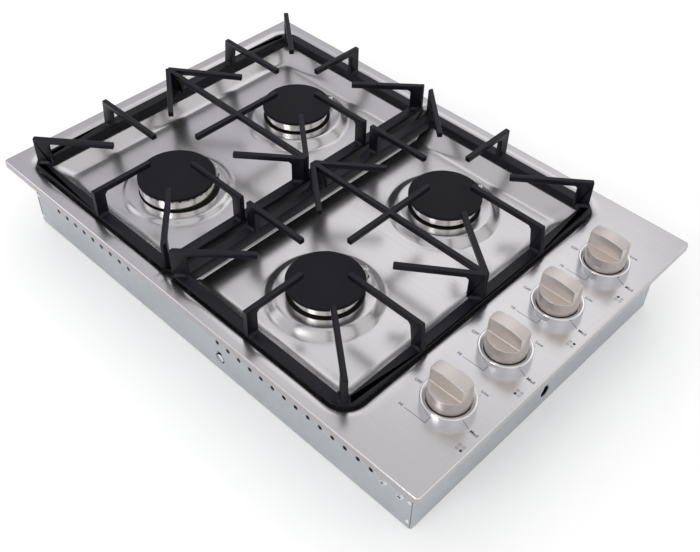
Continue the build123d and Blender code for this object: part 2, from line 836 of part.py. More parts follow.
# ---------------------------------------------------------------- gas supply
manifold_end = box_depth / 2 - box_sheet - inlet_sleeve_inside + inlet_grip
with BuildPart() as manifold_pipe:
    with BuildSketch(Plane((manifold_x, manifold_front, manifold_height), z_dir=(0, 1, 0))):
        Circle(manifold_radius)
    extrude(amount=manifold_end - manifold_front)
    bore_front = manifold_front + manifold_cap
    with BuildSketch(Plane((manifold_x, bore_front, manifold_height), z_dir=(0, 1, 0))):
        Circle(manifold_bore_radius)
    extrude(amount=manifold_end - bore_front, mode=Mode.SUBTRACT)
manifold_pipe.part.label = "manifold_pipe"
export_step(manifold_pipe.part, "parts/manifold_pipe.step")

with BuildPart() as gas_inlet:
    wall = Plane((manifold_x, box_depth / 2, manifold_height), z_dir=(0, 1, 0))
    with BuildSketch(wall):
        RegularPolygon(inlet_collar_flat / 2, 6, major_radius=False)
    extrude(amount=inlet_collar)
    with BuildSketch(wall):
        Circle(inlet_thread_radius)
    extrude(amount=inlet_collar + inlet_thread_length)
    with BuildSketch(wall):
        Circle(inlet_thread_radius)
    extrude(amount=-box_sheet - inlet_sleeve_inside)
    # Bore: the manifold is brazed into its inner end
    with BuildSketch(Plane((manifold_x, manifold_end, manifold_height), z_dir=(0, 1, 0))):
        Circle(manifold_radius + fit_gap)
    extrude(amount=-inlet_grip, mode=Mode.SUBTRACT)
    with BuildSketch(Plane((manifold_x, manifold_end, manifold_height), z_dir=(0, 1, 0))):
        Circle(manifold_bore_radius)
    extrude(amount=box_depth, mode=Mode.SUBTRACT)
gas_inlet.part.label = "gas_inlet"
export_step(gas_inlet.part, "parts/gas_inlet.step")

# Feed tubes: each leaves its valve to the left and bends across to its burner's jet holder
for place, burner in BURNERS.items():
    start_x = knob_x - valve_neck_reach
    end_x = burner["x"] + holder_neck_reach
    knob_y = knob_ys[burner["knob"]]
    turn_start = end_x + feed_bend_start[place]
    route = [
        (start_x, knob_y, feed_height),
        (turn_start, knob_y, feed_height),
        (turn_start - feed_bend_run[place], burner["y"], feed_height),
        (end_x, burner["y"], feed_height),
    ]
    with BuildPart() as feed_tube:
        with BuildLine():
            FilletPolyline(*route, radius=feed_bend_radius)
        with BuildSketch(Plane(route[0], z_dir=(-1, 0, 0))):
            Circle(feed_radius)
        sweep()
        for end, facing in ((route[0], -1), (route[-1], 1)):
            with BuildSketch(Plane(end, z_dir=(facing, 0, 0))):
                RegularPolygon(feed_nut_flat / 2, 6, major_radius=False)
            extrude(amount=feed_nut_length)
    feed_tube.part.label = f"feed_tube_{place}"
    export_step(feed_tube.part, f"parts/feed_tube_{place}.step")

# ---------------------------------------------------------------- valves, stems and knobs
knob_base = plate_top + knob_base_above_plate
knob_shelf = plate_top + knob_shelf_above_plate
knob_top = plate_top + knob_top_above_plate
for place, burner in BURNERS.items():
    y = knob_ys[burner["knob"]]
    centre = (knob_x, y, 0)

    with BuildPart() as valve_body:
        with BuildSketch(Plane((knob_x, y, valve_bottom))):
            Circle(valve_radius)
        extrude(amount=rail_underside - valve_bottom)
        with BuildSketch(Plane((knob_x, y, rail_underside))):
            Rectangle(valve_flange_side, valve_flange_side)
        extrude(amount=-valve_flange)
        with BuildSketch(Plane((knob_x, y, feed_height), z_dir=(-1, 0, 0))):
            Circle(valve_neck_radius)
        extrude(amount=valve_neck_reach)
        with BuildSketch(Plane((knob_x, y, manifold_height), z_dir=(-1, 0, 0))):
            Circle(inlet_neck_radius)
        extrude(amount=knob_x - manifold_x)
        with BuildSketch(Plane((manifold_x, y, manifold_height), z_dir=(0, 1, 0))):
            Circle(manifold_radius + fit_gap)
        extrude(amount=valve_flange_side, both=True, mode=Mode.SUBTRACT)
        # Bore for the turning plug, closed by a bonnet with the stem's hole
        with BuildSketch(Plane((knob_x, y, plug_bottom))):
            Circle(plug_radius + running_gap)
        extrude(amount=plug_length + plug_end_play, mode=Mode.SUBTRACT)
        with BuildSketch(Plane((knob_x, y, plug_bottom))):
            Circle(stem_radius + fit_gap)
        extrude(amount=rail_top - plug_bottom, mode=Mode.SUBTRACT)
    valve_body.part.label = f"valve_body_{place}"
    export_step(valve_body.part, f"parts/valve_body_{place}.step")

    with BuildPart() as valve_plug:
        with BuildSketch(Plane((knob_x, y, plug_bottom + plug_end_play / 2))):
            Circle(plug_radius)
        extrude(amount=plug_length)
        with BuildSketch(Plane((knob_x, y, plug_bottom + plug_length + plug_end_play / 2))):
            Circle(stem_radius + running_gap)
        extrude(amount=-plug_length / 2, mode=Mode.SUBTRACT)
    valve_plug.part.label = f"valve_plug_{place}"
    export_step(valve_plug.part, f"parts/valve_plug_{place}.step")

    with BuildPart() as valve_stem:
        with BuildSketch(Plane((knob_x, y, stem_bottom))):
            Circle(stem_radius)
        extrude(amount=knob_base + stem_in_knob - stem_bottom)
        # Flat that keys the knob
        with BuildSketch(Plane((knob_x, y, knob_base))):
            with Locations((0, stem_radius)):
                Rectangle(2 * stem_radius, 2 * stem_flat)
        extrude(amount=stem_in_knob, mode=Mode.SUBTRACT)
    valve_stem.part.label = f"valve_stem_{place}"
    export_step(valve_stem.part, f"parts/valve_stem_{place}.step")

    # Knob: drafted drum cut down on both sides to leave a waisted grip bar
    with BuildPart() as knob:
        with BuildSketch(Plane((knob_x, y, knob_base))):
            Circle(knob_radius)
        extrude(amount=knob_top - knob_base, taper=knob_draft)
        for flank in (-1, 1):
            far = flank * 2 * knob_radius
            for level, end_width, middle_width in (
                (knob_shelf, knob_shelf_half_width, knob_shelf_middle_half_width),
                (knob_top, knob_grip_end_half_width, knob_grip_middle_half_width),
            ):
                with BuildSketch(Plane((knob_x, y, level))):
                    with BuildLine():
                        left = (-knob_radius, flank * end_width)
                        right = (knob_radius, flank * end_width)
                        ThreePointArc(left, (0, flank * middle_width), right)
                        Polyline(right, (knob_radius, far), (-knob_radius, far), left)
                    make_face()
            loft(ruled=True, mode=Mode.SUBTRACT)
        chamfer(knob.faces().sort_by(Axis.Z)[-1].edges(), knob_edge)
        with BuildSketch(Plane((knob_x, y, knob_base))):
            Circle(knob_hollow_radius)
            Circle(knob_hub_radius, mode=Mode.SUBTRACT)
        extrude(amount=knob_hollow_depth, mode=Mode.SUBTRACT)
        with BuildSketch(Plane((knob_x, y, knob_base))):
            Circle(stem_radius + running_gap)
            with Locations((0, stem_radius + running_gap)):
                Rectangle(2 * stem_radius, 2 * stem_flat, mode=Mode.SUBTRACT)
        extrude(amount=stem_in_knob + running_gap, mode=Mode.SUBTRACT)
    knob.part.label = f"knob_{place}"
    export_step(knob.part, f"parts/knob_{place}.step")

    with BuildPart() as bezel:
        with BuildSketch(Plane(centre, x_dir=(1, 0, 0), z_dir=(0, -1, 0))):
            middle_radius = (bezel_bore_radius + bezel_radius) / 2
            with Locations((middle_radius, plate_top + bezel_height / 2)):
                wall_section = Rectangle(bezel_radius - bezel_bore_radius, bezel_height)
            chamfer(wall_section.vertices().group_by(Axis.Z)[-1], bezel_crown_chamfer)
        revolve(axis=Axis(centre, (0, 0, 1)))
    bezel.part.label = f"bezel_{place}"
    export_step(bezel.part, f"parts/bezel_{place}.step")

# ---------------------------------------------------------------- ignition
with BuildPart() as ignition_switches:
    with BuildSketch(Plane.XY.offset(rail_top)):
        with Locations(*[(knob_x, y) for y in knob_ys]):
            Rectangle(switch_width, switch_length)
            Circle(switch_hole_radius, mode=Mode.SUBTRACT)
    extrude(amount=switch_height)
ignition_switches.part.label = "ignition_switches"
export_step(ignition_switches.part, "parts/ignition_switches.step")

module_x = knob_x - module_left_of_knobs
module_y = box_depth / 2 - module_from_box_back
terminal_ys = [
    module_y + (index - (len(BURNERS) - 1) / 2) * module_terminal_pitch
    for index in range(len(BURNERS))
]
module_left = module_x - module_length / 2
with BuildPart() as spark_module:
    with BuildSketch(Plane.XY.offset(box_sheet)):
        with Locations((module_x, module_y)):
            RectangleRounded(module_length, module_width, module_corner_radius)
    extrude(amount=module_height)
    with BuildSketch(Plane((module_left, 0, lead_height), x_dir=(0, -1, 0), z_dir=(-1, 0, 0))):
        with Locations(*[(-terminal_y, 0) for terminal_y in terminal_ys]):
            Circle(module_terminal_radius)
    extrude(amount=module_terminal_length)
spark_module.part.label = "spark_module"
export_step(spark_module.part, "parts/spark_module.step")

# Spark leads: silicone cables along the floor of the box, then straight up to the electrodes.
# Each way lists the turning points in plan between its terminal and its electrode; its
# aisle is measured to the right of the burner's centre, and its turn towards the back.
lead_start_x = module_left - module_terminal_length
lead_rise_top = ceramic_bottom - seat_gap
lead_orders = ("right_front", "right_back", "left_front", "left_back")
with BuildPart() as spark_leads:
    for place, terminal_y in zip(lead_orders, terminal_ys):
        burner = BURNERS[place]
        x, y = electrode_place(burner)
        aisle_x = burner["x"] + lead_aisle[place]
        way = [(lead_start_x, terminal_y, lead_height), (aisle_x, terminal_y, lead_height)]
        bends = [lead_bend_radius]
        if place in lead_turn:
            way.append((aisle_x, burner["y"] + lead_turn[place], lead_height))
            bends.append(lead_bend_radius)
        way += [(x, y, lead_height), (x, y, lead_rise_top)]
        bends.append(lead_rise_radius)
        with BuildLine():
            FilletPolyline(*way, radius=bends)
        with BuildSketch(Plane(way[0], z_dir=(-1, 0, 0))):
            Circle(lead_radius)
        sweep()
spark_leads.part.label = "spark_leads"
export_step(spark_leads.part, "parts/spark_leads.step")

# Harness: joins the ignition switches and drops over the rail to the module
switch_side = knob_x + switch_width / 2
harness_drop_x = knob_x - harness_left_of_knobs
with BuildPart() as switch_harness:
    harness_x = switch_side + harness_radius
    harness_z = rail_top + switch_height / 2
    route = [
        (harness_x, knob_ys[0], harness_z),
        (harness_x, module_y, harness_z),
        (harness_drop_x, module_y, harness_z),
        (harness_drop_x, module_y, module_height / 2),
        (module_x + module_length / 2, module_y, module_height / 2),
    ]
    with BuildLine():
        FilletPolyline(*route, radius=harness_bend_radius)
    with BuildSketch(Plane(route[0], z_dir=(0, 1, 0))):
        Circle(harness_radius)
    sweep()
switch_harness.part.label = "switch_harness"
export_step(switch_harness.part, "parts/switch_harness.step")

# Gland: nylon bush that the supply cord passes through
with BuildPart() as cord_gland:
    facing = Plane((gland_x, box_depth / 2, gland_height), z_dir=(0, 1, 0))
    with BuildSketch(facing):
        Circle(gland_flange_radius)
    extrude(amount=gland_flange, taper=gland_taper)
    with BuildSketch(facing):
        Circle(gland_hole_radius)
    extrude(amount=-gland_inside)
    with BuildSketch(facing):
        Circle(gland_bore_radius)
    extrude(amount=gland_flange, mode=Mode.SUBTRACT)
    with BuildSketch(facing):
        Circle(gland_bore_radius)
    extrude(amount=-gland_inside, mode=Mode.SUBTRACT)
cord_gland.part.label = "cord_gland"
export_step(cord_gland.part, "parts/cord_gland.step")
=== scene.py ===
import math

import bmesh
import bpy
import numpy as np
from mathutils import Matrix, Vector


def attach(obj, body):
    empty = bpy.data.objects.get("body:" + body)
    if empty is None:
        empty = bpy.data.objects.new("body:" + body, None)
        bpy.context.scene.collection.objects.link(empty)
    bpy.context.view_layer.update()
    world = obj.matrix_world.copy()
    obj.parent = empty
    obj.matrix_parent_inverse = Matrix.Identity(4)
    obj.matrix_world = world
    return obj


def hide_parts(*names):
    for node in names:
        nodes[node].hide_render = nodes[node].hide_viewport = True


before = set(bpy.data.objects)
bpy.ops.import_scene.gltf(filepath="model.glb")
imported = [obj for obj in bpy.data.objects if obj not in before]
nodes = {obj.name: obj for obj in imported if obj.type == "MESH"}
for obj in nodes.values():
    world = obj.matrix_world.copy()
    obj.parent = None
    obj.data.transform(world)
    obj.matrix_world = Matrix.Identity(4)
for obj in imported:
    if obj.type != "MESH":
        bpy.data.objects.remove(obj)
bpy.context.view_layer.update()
MM = 0.001
WHITE = (1.0, 1.0, 1.0, 1.0)


# ---------------------------------------------------------------- camera, floor and light
# The cooktop stands on a pale studio table. The camera looks down on its front right
# corner from about a metre away; big soft lamps above and a white room light it.
def place(name, data):
    """A new object in the scene."""
    thing = bpy.data.objects.new(name, data)
    bpy.context.scene.collection.objects.link(thing)
    return thing


def add_node(tree, kind, inputs=None, **settings):
    """A new node with its settings; each input is given as a value or as a socket to link."""
    node = tree.nodes.new(kind)
    for name, value in settings.items():
        setattr(node, name, value)
    for socket, value in (inputs or {}).items():
        if isinstance(value, bpy.types.NodeSocket):
            tree.links.new(value, node.inputs[socket])
        else:
            node.inputs[socket].default_value = value
    return node


def reckon(tree, operation, first, second):
    """The result of a sum on two numbers."""
    sum_node = add_node(tree, "ShaderNodeMath", {0: first, 1: second}, operation=operation)
    return sum_node.outputs[0]


def mixed_number(tree, share, first, second):
    """A number between two, by the share of the second."""
    mix = add_node(tree, "ShaderNodeMix", {0: share, 2: first, 3: second}, data_type="FLOAT")
    return mix.outputs[0]


def mixed_colour(tree, share, first, second):
    """A colour between two, by the share of the second."""
    mix = add_node(tree, "ShaderNodeMix", {0: share, 6: first, 7: second}, data_type="RGBA")
    return mix.outputs[2]


def between(tree, value, low, high, start=0.3, end=0.7):
    """A number that runs from low to high as the value runs from start to end."""
    ends = {"From Min": start, "From Max": end, "To Min": low, "To Max": high}
    return add_node(tree, "ShaderNodeMapRange", {"Value": value, **ends}).outputs[0]


def new_material(name):
    """An empty node material: returns it, its node tree and its Principled shader."""
    material = bpy.data.materials.new(name)
    material.use_nodes = True
    tree = material.node_tree
    return material, tree, tree.nodes["Principled BSDF"]


def seen_directly(tree):
    """1 for rays from the camera, a mirror or glass, 0 for the rays that light things.

    The second result is 1 for rays from the camera alone.
    """
    path = add_node(tree, "ShaderNodeLightPath").outputs
    glossy = reckon(tree, "MAXIMUM", path["Is Camera Ray"], path["Is Glossy Ray"])
    both = reckon(tree, "MAXIMUM", glossy, path["Is Transmission Ray"])
    return both, path["Is Camera Ray"]


camera_data = bpy.data.cameras.new("camera")
camera_data.sensor_fit = "HORIZONTAL"
camera_data.sensor_width = 36.0
camera_data.lens = 49.07
camera_data.clip_start = 0.05
camera = place("camera", camera_data)
camera.location = (0.53733, -0.55579, 0.76289)
camera.rotation_euler = [math.radians(a) for a in (44.4612, -1.3261, 44.0105)]
bpy.context.scene.camera = camera
bpy.context.scene.view_settings.view_transform = "Standard"

# White room: what shines in the cooktop is a little darker and cooler on its left side, and
# the room is darker low down than overhead. The camera itself sees it plain white.
ROOM_LEFT, ROOM_RIGHT, ROOM_LIGHT, ROOM_LOW = 0.66, 0.82, 0.92, 0.32
world = bpy.data.worlds.new("white_room")
bpy.context.scene.world = world
world.use_nodes = True
tree = world.node_tree
way = add_node(tree, "ShaderNodeTexCoord").outputs["Generated"]
split = add_node(tree, "ShaderNodeSeparateXYZ", {0: way}).outputs
side = between(tree, split["X"], 0.0, 1.0, -0.9, 0.1)
low_down = between(tree, split["Z"], ROOM_LOW, 1.0, 0.0, 0.55)
direct, camera_ray = seen_directly(tree)
room = mixed_number(tree, side, ROOM_LEFT, ROOM_RIGHT)
reflected = mixed_number(tree, direct, ROOM_LIGHT, room)
shaded = reckon(tree, "MULTIPLY", reflected, low_down)
cool = mixed_colour(tree, side, (0.96, 0.965, 1.04, 1.0), (1.0, 0.99, 1.0, 1.0))
mirrored = reckon(tree, "SUBTRACT", direct, camera_ray)
background = tree.nodes["Background"].inputs
tree.links.new(mixed_number(tree, camera_ray, shaded, 1.0), background["Strength"])
tree.links.new(mixed_colour(tree, mirrored, WHITE, cool), background["Color"])

FLOOR_HALF, FLOOR_DROP = 4, 0.0005
floor_mesh = bpy.data.meshes.new("studio_floor")
floor_mesh.from_pydata(
    [
        (x * FLOOR_HALF, y * FLOOR_HALF, -FLOOR_DROP)
        for x, y in ((-1, -1), (1, -1), (1, 1), (-1, 1))
    ],
    [],
    [(0, 1, 2, 3)],
)
floor = place("studio_floor", floor_mesh)
material, tree, shader = new_material("pale_table")
shader.inputs["Base Color"].default_value = (0.93, 0.93, 0.93, 1.0)
shader.inputs["Roughness"].default_value = 0.9
shader.inputs["Specular IOR Level"].default_value = 0.1
direct, camera_ray = seen_directly(tree)
lift = add_node(
    tree, "ShaderNodeEmission", {"Strength": direct, "Color": (0.17, 0.17, 0.17, 1.0)}
)
both = add_node(tree, "ShaderNodeAddShader", {0: shader.outputs[0], 1: lift.outputs[0]})
tree.links.new(both.outputs[0], tree.nodes["Material Output"].inputs["Surface"])
floor_mesh.materials.append(material)

for name, spot, aim, size, watts in (
    ("lamp_overhead", (-0.60, 1.10, 1.45), (0.0, 0.0, 0.0), (1.2, 0.65), 1.25),
    ("lamp_right", (1.6, -0.5, 1.2), (0.1, 0.0, 0.1), (0.9, 1.2), 0.4),
    ("lamp_left", (-1.5, -0.9, 1.1), (0.0, 0.0, 0.1), (0.8, 1.0), 1.6),
    ("lamp_front", (0.1, -1.5, 1.15), (0.0, 0.0, 0.1), (0.6, 0.5), 4.5),
):
    lamp_data = bpy.data.lights.new(name, "AREA")
    lamp_data.shape = "RECTANGLE"
    lamp_data.size, lamp_data.size_y = size
    lamp_data.energy = watts
    lamp = place(name, lamp_data)
    lamp.location = spot
    lamp.rotation_euler = (Vector(aim) - Vector(spot)).to_track_quat("-Z", "Y").to_euler()


# ---------------------------------------------------------------- burner box
# Tray folded from galvanised sheet, with a joggled flange under the plate. Zinc gives it a
# cool grey colour with a faint spangle and a dull, blurred shine. Its walls are joined at
# the corners by a lapped seam with a pair of pressed rivets beside it.
SMOOTH_BELOW = 35.0
WELD = 1e-6
HEAD_SEGMENTS, HEAD_RINGS = 20, 12


def object_noise(tree, scale, detail=2.0, stretch=(1.0, 1.0, 1.0), rough=0.5):
    """Noise on the piece's own coordinates, in metres, finer along the larger stretch."""
    spot = add_node(tree, "ShaderNodeTexCoord").outputs["Object"]
    turn = add_node(tree, "ShaderNodeMapping", {"Vector": spot, "Scale": stretch})
    grain = {"Vector": turn.outputs["Vector"], "Scale": scale, "Detail": detail}
    return add_node(tree, "ShaderNodeTexNoise", {**grain, "Roughness": rough}).outputs["Fac"]


def two_tones(tree, value, dark, light, start=0.3, end=0.7):
    """A colour between dark and light, led by the value."""
    ramp = add_node(tree, "ShaderNodeValToRGB", {"Fac": value})
    for stop, at, colour in zip(ramp.color_ramp.elements, (start, end), (dark, light)):
        stop.position = at
        stop.color = (*colour, 1.0)
    return ramp.outputs["Color"]


def relief(tree, shader, value, height, strength=0.5):
    """Fine relief on the surface, height in metres."""
    depth = {"Height": value, "Strength": strength, "Distance": height}
    bump = add_node(tree, "ShaderNodeBump", depth)
    tree.links.new(bump.outputs["Normal"], shader.inputs["Normal"])


def dress(node, material):
    """Gives a carried-over CAD node its finish."""
    slots = nodes[node].data.materials
    slots.clear()
    slots.append(material)


def finished_mesh(mesh, add_modifiers):
    """The plain mesh that is left when modifiers are put on a mesh."""
    blank = place("blank", mesh)
    add_modifiers(blank)
    graph = bpy.context.evaluated_depsgraph_get()
    result = bpy.data.meshes.new_from_object(
        blank.evaluated_get(graph), preserve_all_data_layers=True, depsgraph=graph
    )
    bpy.data.objects.remove(blank)
    return result


def settle(name, mesh, material, body, slot, *stands_for):
    """Puts a finished mesh in the scene as a piece that rides on a body."""
    mesh.materials.clear()
    mesh.materials.append(material)
    piece = place(name, mesh)
    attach(piece, body)
    if stands_for:
        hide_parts(*stands_for)
    return piece


def smoothed(mesh):
    """Shades a mesh smooth except across its sharp edges."""
    mesh.shade_smooth()
    mesh.set_sharp_from_angle(angle=math.radians(SMOOTH_BELOW))
    return mesh


def mesh_from(shape, name):
    """A smooth-shaded mesh from a bmesh."""
    mesh = bpy.data.meshes.new(name)
    shape.to_mesh(mesh)
    shape.free()
    return smoothed(mesh)


def welded(mesh):
    """A bmesh of a mesh, with the points that lie on each other joined."""
    shape = bmesh.new()
    shape.from_mesh(mesh)
    bmesh.ops.remove_doubles(shape, verts=shape.verts, dist=WELD)
    return shape


def add_bar(shape, size, middle, turn=0.0, axis="Z"):
    """Adds a bar to a bmesh, in millimetres, turned by radians about an axis."""
    corners = bmesh.ops.create_cube(shape, size=1.0)["verts"]
    bmesh.ops.scale(shape, verts=corners, vec=[part * MM for part in size])
    bmesh.ops.rotate(shape, verts=corners, matrix=Matrix.Rotation(turn, 3, axis))
    bmesh.ops.translate(shape, verts=corners, vec=[part * MM for part in middle])


def lathe(profile, steps):
    """A turned shape on the Z axis from (radius, height) points in millimetres."""
    shape = bmesh.new()
    rings = []
    for radius, height in profile:
        if radius == 0:
            rings.append([shape.verts.new((0, 0, height * MM))])
            continue
        ring = []
        for step in range(steps):
            turn = 2 * math.pi * step / steps
            spot = (radius * math.cos(turn) * MM, radius * math.sin(turn) * MM, height * MM)
            ring.append(shape.verts.new(spot))
        rings.append(ring)
    pairs = list(zip(rings, rings[1:]))
    if profile[0][0] != 0:
        pairs.append((rings[-1], rings[0]))
    for lower, upper in pairs:
        for step in range(steps):
            after = (step + 1) % steps
            near = [lower[step % len(lower)], lower[after % len(lower)]]
            far = [upper[after % len(upper)], upper[step % len(upper)]]
            face = list(dict.fromkeys(near + far))
            if len(face) > 2:
                shape.faces.new(face)
    bmesh.ops.recalc_face_normals(shape, faces=shape.faces)
    return shape


def zinc_sheet(name, dark, light):
    """Zinc-coated sheet: a fine spangle under broad clouds, between two tones."""
    material, tree, shader = new_material(name)
    shader.inputs["Metallic"].default_value = 0.85
    spot = add_node(tree, "ShaderNodeTexCoord").outputs["Object"]
    spangle = add_node(tree, "ShaderNodeTexVoronoi", {"Vector": spot, "Scale": 160.0})
    grey = add_node(tree, "ShaderNodeRGBToBW", {"Color": spangle.outputs["Color"]})
    tone = mixed_number(tree, 0.8, grey.outputs[0], object_noise(tree, 18.0, 3.0))
    tree.links.new(two_tones(tree, tone, dark, light), shader.inputs["Base Color"])
    tree.links.new(between(tree, tone, 0.42, 0.52), shader.inputs["Roughness"])
    relief(tree, shader, object_noise(tree, 900.0, 2.0), 0.00002, 0.3)
    return material


galvanised = zinc_sheet("galvanised_sheet", (0.455, 0.480, 0.505), (0.535, 0.560, 0.585))
dress("burner_box", galvanised)

# Dark strip at the lapped seam at each corner of the box: painted shade along the edge of the
# lapped sheet
BOX_HALF_WIDTH, BOX_HALF_DEPTH = 287.5, 194.5
SEAM_FROM_CORNER = 1.2
SEAM_LOW, SEAM_HIGH = 2.5, 79.5
SEAM_WIDTH, SEAM_PROUD = 0.5, 0.25
seam_x = BOX_HALF_WIDTH - SEAM_FROM_CORNER
seam_middle = (SEAM_LOW + SEAM_HIGH) / 2
seams = bmesh.new()
for side in (-1, 1):
    for end in (-1, 1):
        add_bar(
            seams,
            (SEAM_WIDTH, 2 * SEAM_PROUD, SEAM_HIGH - SEAM_LOW),
            (side * seam_x, end * BOX_HALF_DEPTH, seam_middle),
        )
# The dark tones of this sheet are painted shade, for the corner seams and the screw recesses
seam_painted_shade = zinc_sheet("painted_seam_shade", (0.10, 0.11, 0.12), (0.17, 0.18, 0.19))
settle("box_seams", mesh_from(seams, "box_seams"), seam_painted_shade, "cooktop", "galvanised")


# Rivets stand in rows on the end walls: a node tree sets one head on each point
def node_group(name, base, numbers, result):
    """A geometry node tree with a base, numbers and a finish; returns it and its inputs."""
    tree = bpy.data.node_groups.new(name, "GeometryNodeTree")
    sockets = tree.interface
    sockets.new_socket(base, in_out="INPUT", socket_type="NodeSocketGeometry")
    for number, value in numbers.items():
        socket = sockets.new_socket(number, in_out="INPUT", socket_type="NodeSocketFloat")
        socket.default_value = value
    sockets.new_socket("Finish", in_out="INPUT", socket_type="NodeSocketMaterial")
    sockets.new_socket(result, in_out="OUTPUT", socket_type="NodeSocketGeometry")
    return tree, add_node(tree, "NodeGroupInput").outputs


def end_group(tree, given, shape, result):
    """Makes the tree's shape real, gives it the finish and sends it out."""
    real = add_node(tree, "GeometryNodeRealizeInstances", {"Geometry": shape}).outputs[0]
    coat = {"Geometry": real, "Material": given["Finish"]}
    coated = add_node(tree, "GeometryNodeSetMaterial", coat).outputs[0]
    add_node(tree, "NodeGroupOutput", {result: coated})


def with_tree(tree, values):
    """Adds a node tree to an object, its inputs set by the socket's identifier."""
    identifiers = {
        item.name: item.identifier
        for item in tree.interface.items_tree
        if item.in_out == "INPUT"
    }

    def add(thing):
        modifier = thing.modifiers.new(tree.name, "NODES")
        modifier.node_group = tree
        for socket_name, value in values.items():
            modifier[identifiers[socket_name]] = value

    return add


RIVET_XS = (-283.2, 283.2)
RIVET_HEIGHTS = (9.7, 40.8)
RIVET_RADIUS, RIVET_RISE = 2.5, 1.4
rivet_row, given = node_group(
    "rivet_row", "Places", {"Head radius": 2.4 * MM, "Head rise": 0.7 * MM}, "Heads"
)
ball = add_node(
    rivet_row,
    "GeometryNodeMeshUVSphere",
    {"Segments": HEAD_SEGMENTS, "Rings": HEAD_RINGS, "Radius": 1.0},
)
head_size = add_node(
    rivet_row,
    "ShaderNodeCombineXYZ",
    {"X": given["Head radius"], "Y": given["Head rise"], "Z": given["Head radius"]},
)
smooth = add_node(rivet_row, "GeometryNodeSetShadeSmooth", {"Geometry": ball.outputs["Mesh"]})
heads = add_node(
    rivet_row,
    "GeometryNodeInstanceOnPoints",
    {
        "Points": given["Places"],
        "Instance": smooth.outputs["Geometry"],
        "Scale": head_size.outputs["Vector"],
    },
)
end_group(rivet_row, given, heads.outputs["Instances"], "Heads")

rivet_places = bpy.data.meshes.new("rivet_places")
rivet_places.from_pydata(
    [
        (x * MM, end * BOX_HALF_DEPTH * MM, height * MM)
        for x in RIVET_XS
        for height in RIVET_HEIGHTS
        for end in (-1, 1)
    ],
    [],
    [],
)
# The rivet heads and the bracket tab get a paler zinc than the box: the lightness is a painted
# highlight
pale_zinc_painted_highlight = zinc_sheet("pale_zinc_painted_highlight", (0.74, 0.76, 0.78), (0.84, 0.86, 0.88))
head = {"Head radius": RIVET_RADIUS * MM, "Head rise": RIVET_RISE * MM, "Finish": pale_zinc_painted_highlight}
rivets = finished_mesh(rivet_places, with_tree(rivet_row, head))
settle("box_rivets", rivets, pale_zinc_painted_highlight, "cooktop", "galvanised")

# Tab of the inner bracket that shows in the keyhole of the front wall, its pale tone a painted
# highlight
TAB_X, TAB_HEIGHT, TAB_RADIUS, TAB_BEHIND, TAB_THICK = 29.6, 16.6, 5.0, 1.3, 0.8
TAB_STEPS = 32
tab = lathe([(0, 0), (TAB_RADIUS, 0), (TAB_RADIUS, TAB_THICK), (0, TAB_THICK)], TAB_STEPS)
tab_place = (TAB_X * MM, (-BOX_HALF_DEPTH + TAB_BEHIND) * MM, TAB_HEIGHT * MM)
bmesh.ops.rotate(tab, verts=tab.verts, matrix=Matrix.Rotation(math.radians(-90), 3, "X"))
bmesh.ops.translate(tab, verts=tab.verts, vec=tab_place)
settle("bracket_tab", mesh_from(tab, "bracket_tab"), pale_zinc_painted_highlight, "cooktop", "galvanised")

# Cross recesses of the rail screws: two crossed bars on each head, a dark inlay that is
# painted shade in the recesses
RECESS_XS, RECESS_HEIGHT = (252.4, 272.5), 40.0
RECESS_LONG, RECESS_WIDE, HEAD_RISE, RECESS_THICK = 4.4, 1.1, 2.2, 0.3
RECESS_TURNS = (20.0, 55.0)
bars = bmesh.new()
for x, turn in zip(RECESS_XS, RECESS_TURNS):
    for end in (-1, 1):
        for quarter in (0.0, 90.0):
            add_bar(
                bars,
                (RECESS_LONG, RECESS_THICK, RECESS_WIDE),
                (x, end * (BOX_HALF_DEPTH + HEAD_RISE), RECESS_HEIGHT),
                math.radians(turn + quarter),
                "Y",
            )
settle("screw_recesses", mesh_from(bars, "screw_recesses"), seam_painted_shade, "cooktop", "galvanised")


# ---------------------------------------------------------------- worktop seal
# Strip of black closed-cell foam, stuck under the rim to seal the plate to the worktop. Its
# foot stands a little higher than the solid's, to suit the lip of the plate.
def plain_finish(name, grain, dark, light, roughness, metal=0.0, shine=None, bump=None):
    """A finish whose tone, roughness and relief follow one noise.

    The grain is what object_noise takes, the roughness one number or a range, the shine a
    level of reflection and the bump a height in metres with its strength.
    """
    material, tree, shader = new_material(name)
    shader.inputs["Metallic"].default_value = metal
    if shine is not None:
        shader.inputs["Specular IOR Level"].default_value = shine
    value = object_noise(tree, *grain)
    tree.links.new(two_tones(tree, value, dark, light), shader.inputs["Base Color"])
    if isinstance(roughness, tuple):
        tree.links.new(between(tree, value, *roughness), shader.inputs["Roughness"])
    else:
        shader.inputs["Roughness"].default_value = roughness
    if bump:
        relief(tree, shader, value, *bump)
    return material


SEAL_FOOT = 82.6
foam = plain_finish(
    "foam_strip", (1500.0, 2.0), (0.008, 0.008, 0.008), (0.03, 0.03, 0.03), 0.95,
    bump=(0.0003, 0.6),
)
strip = welded(nodes["worktop_seal"].data)
for corner in strip.verts:
    corner.co.z = max(corner.co.z, SEAL_FOOT * MM)
settle("seal_strip", mesh_from(strip, "seal_strip"), foam, "cooktop", "foam", "worktop_seal")

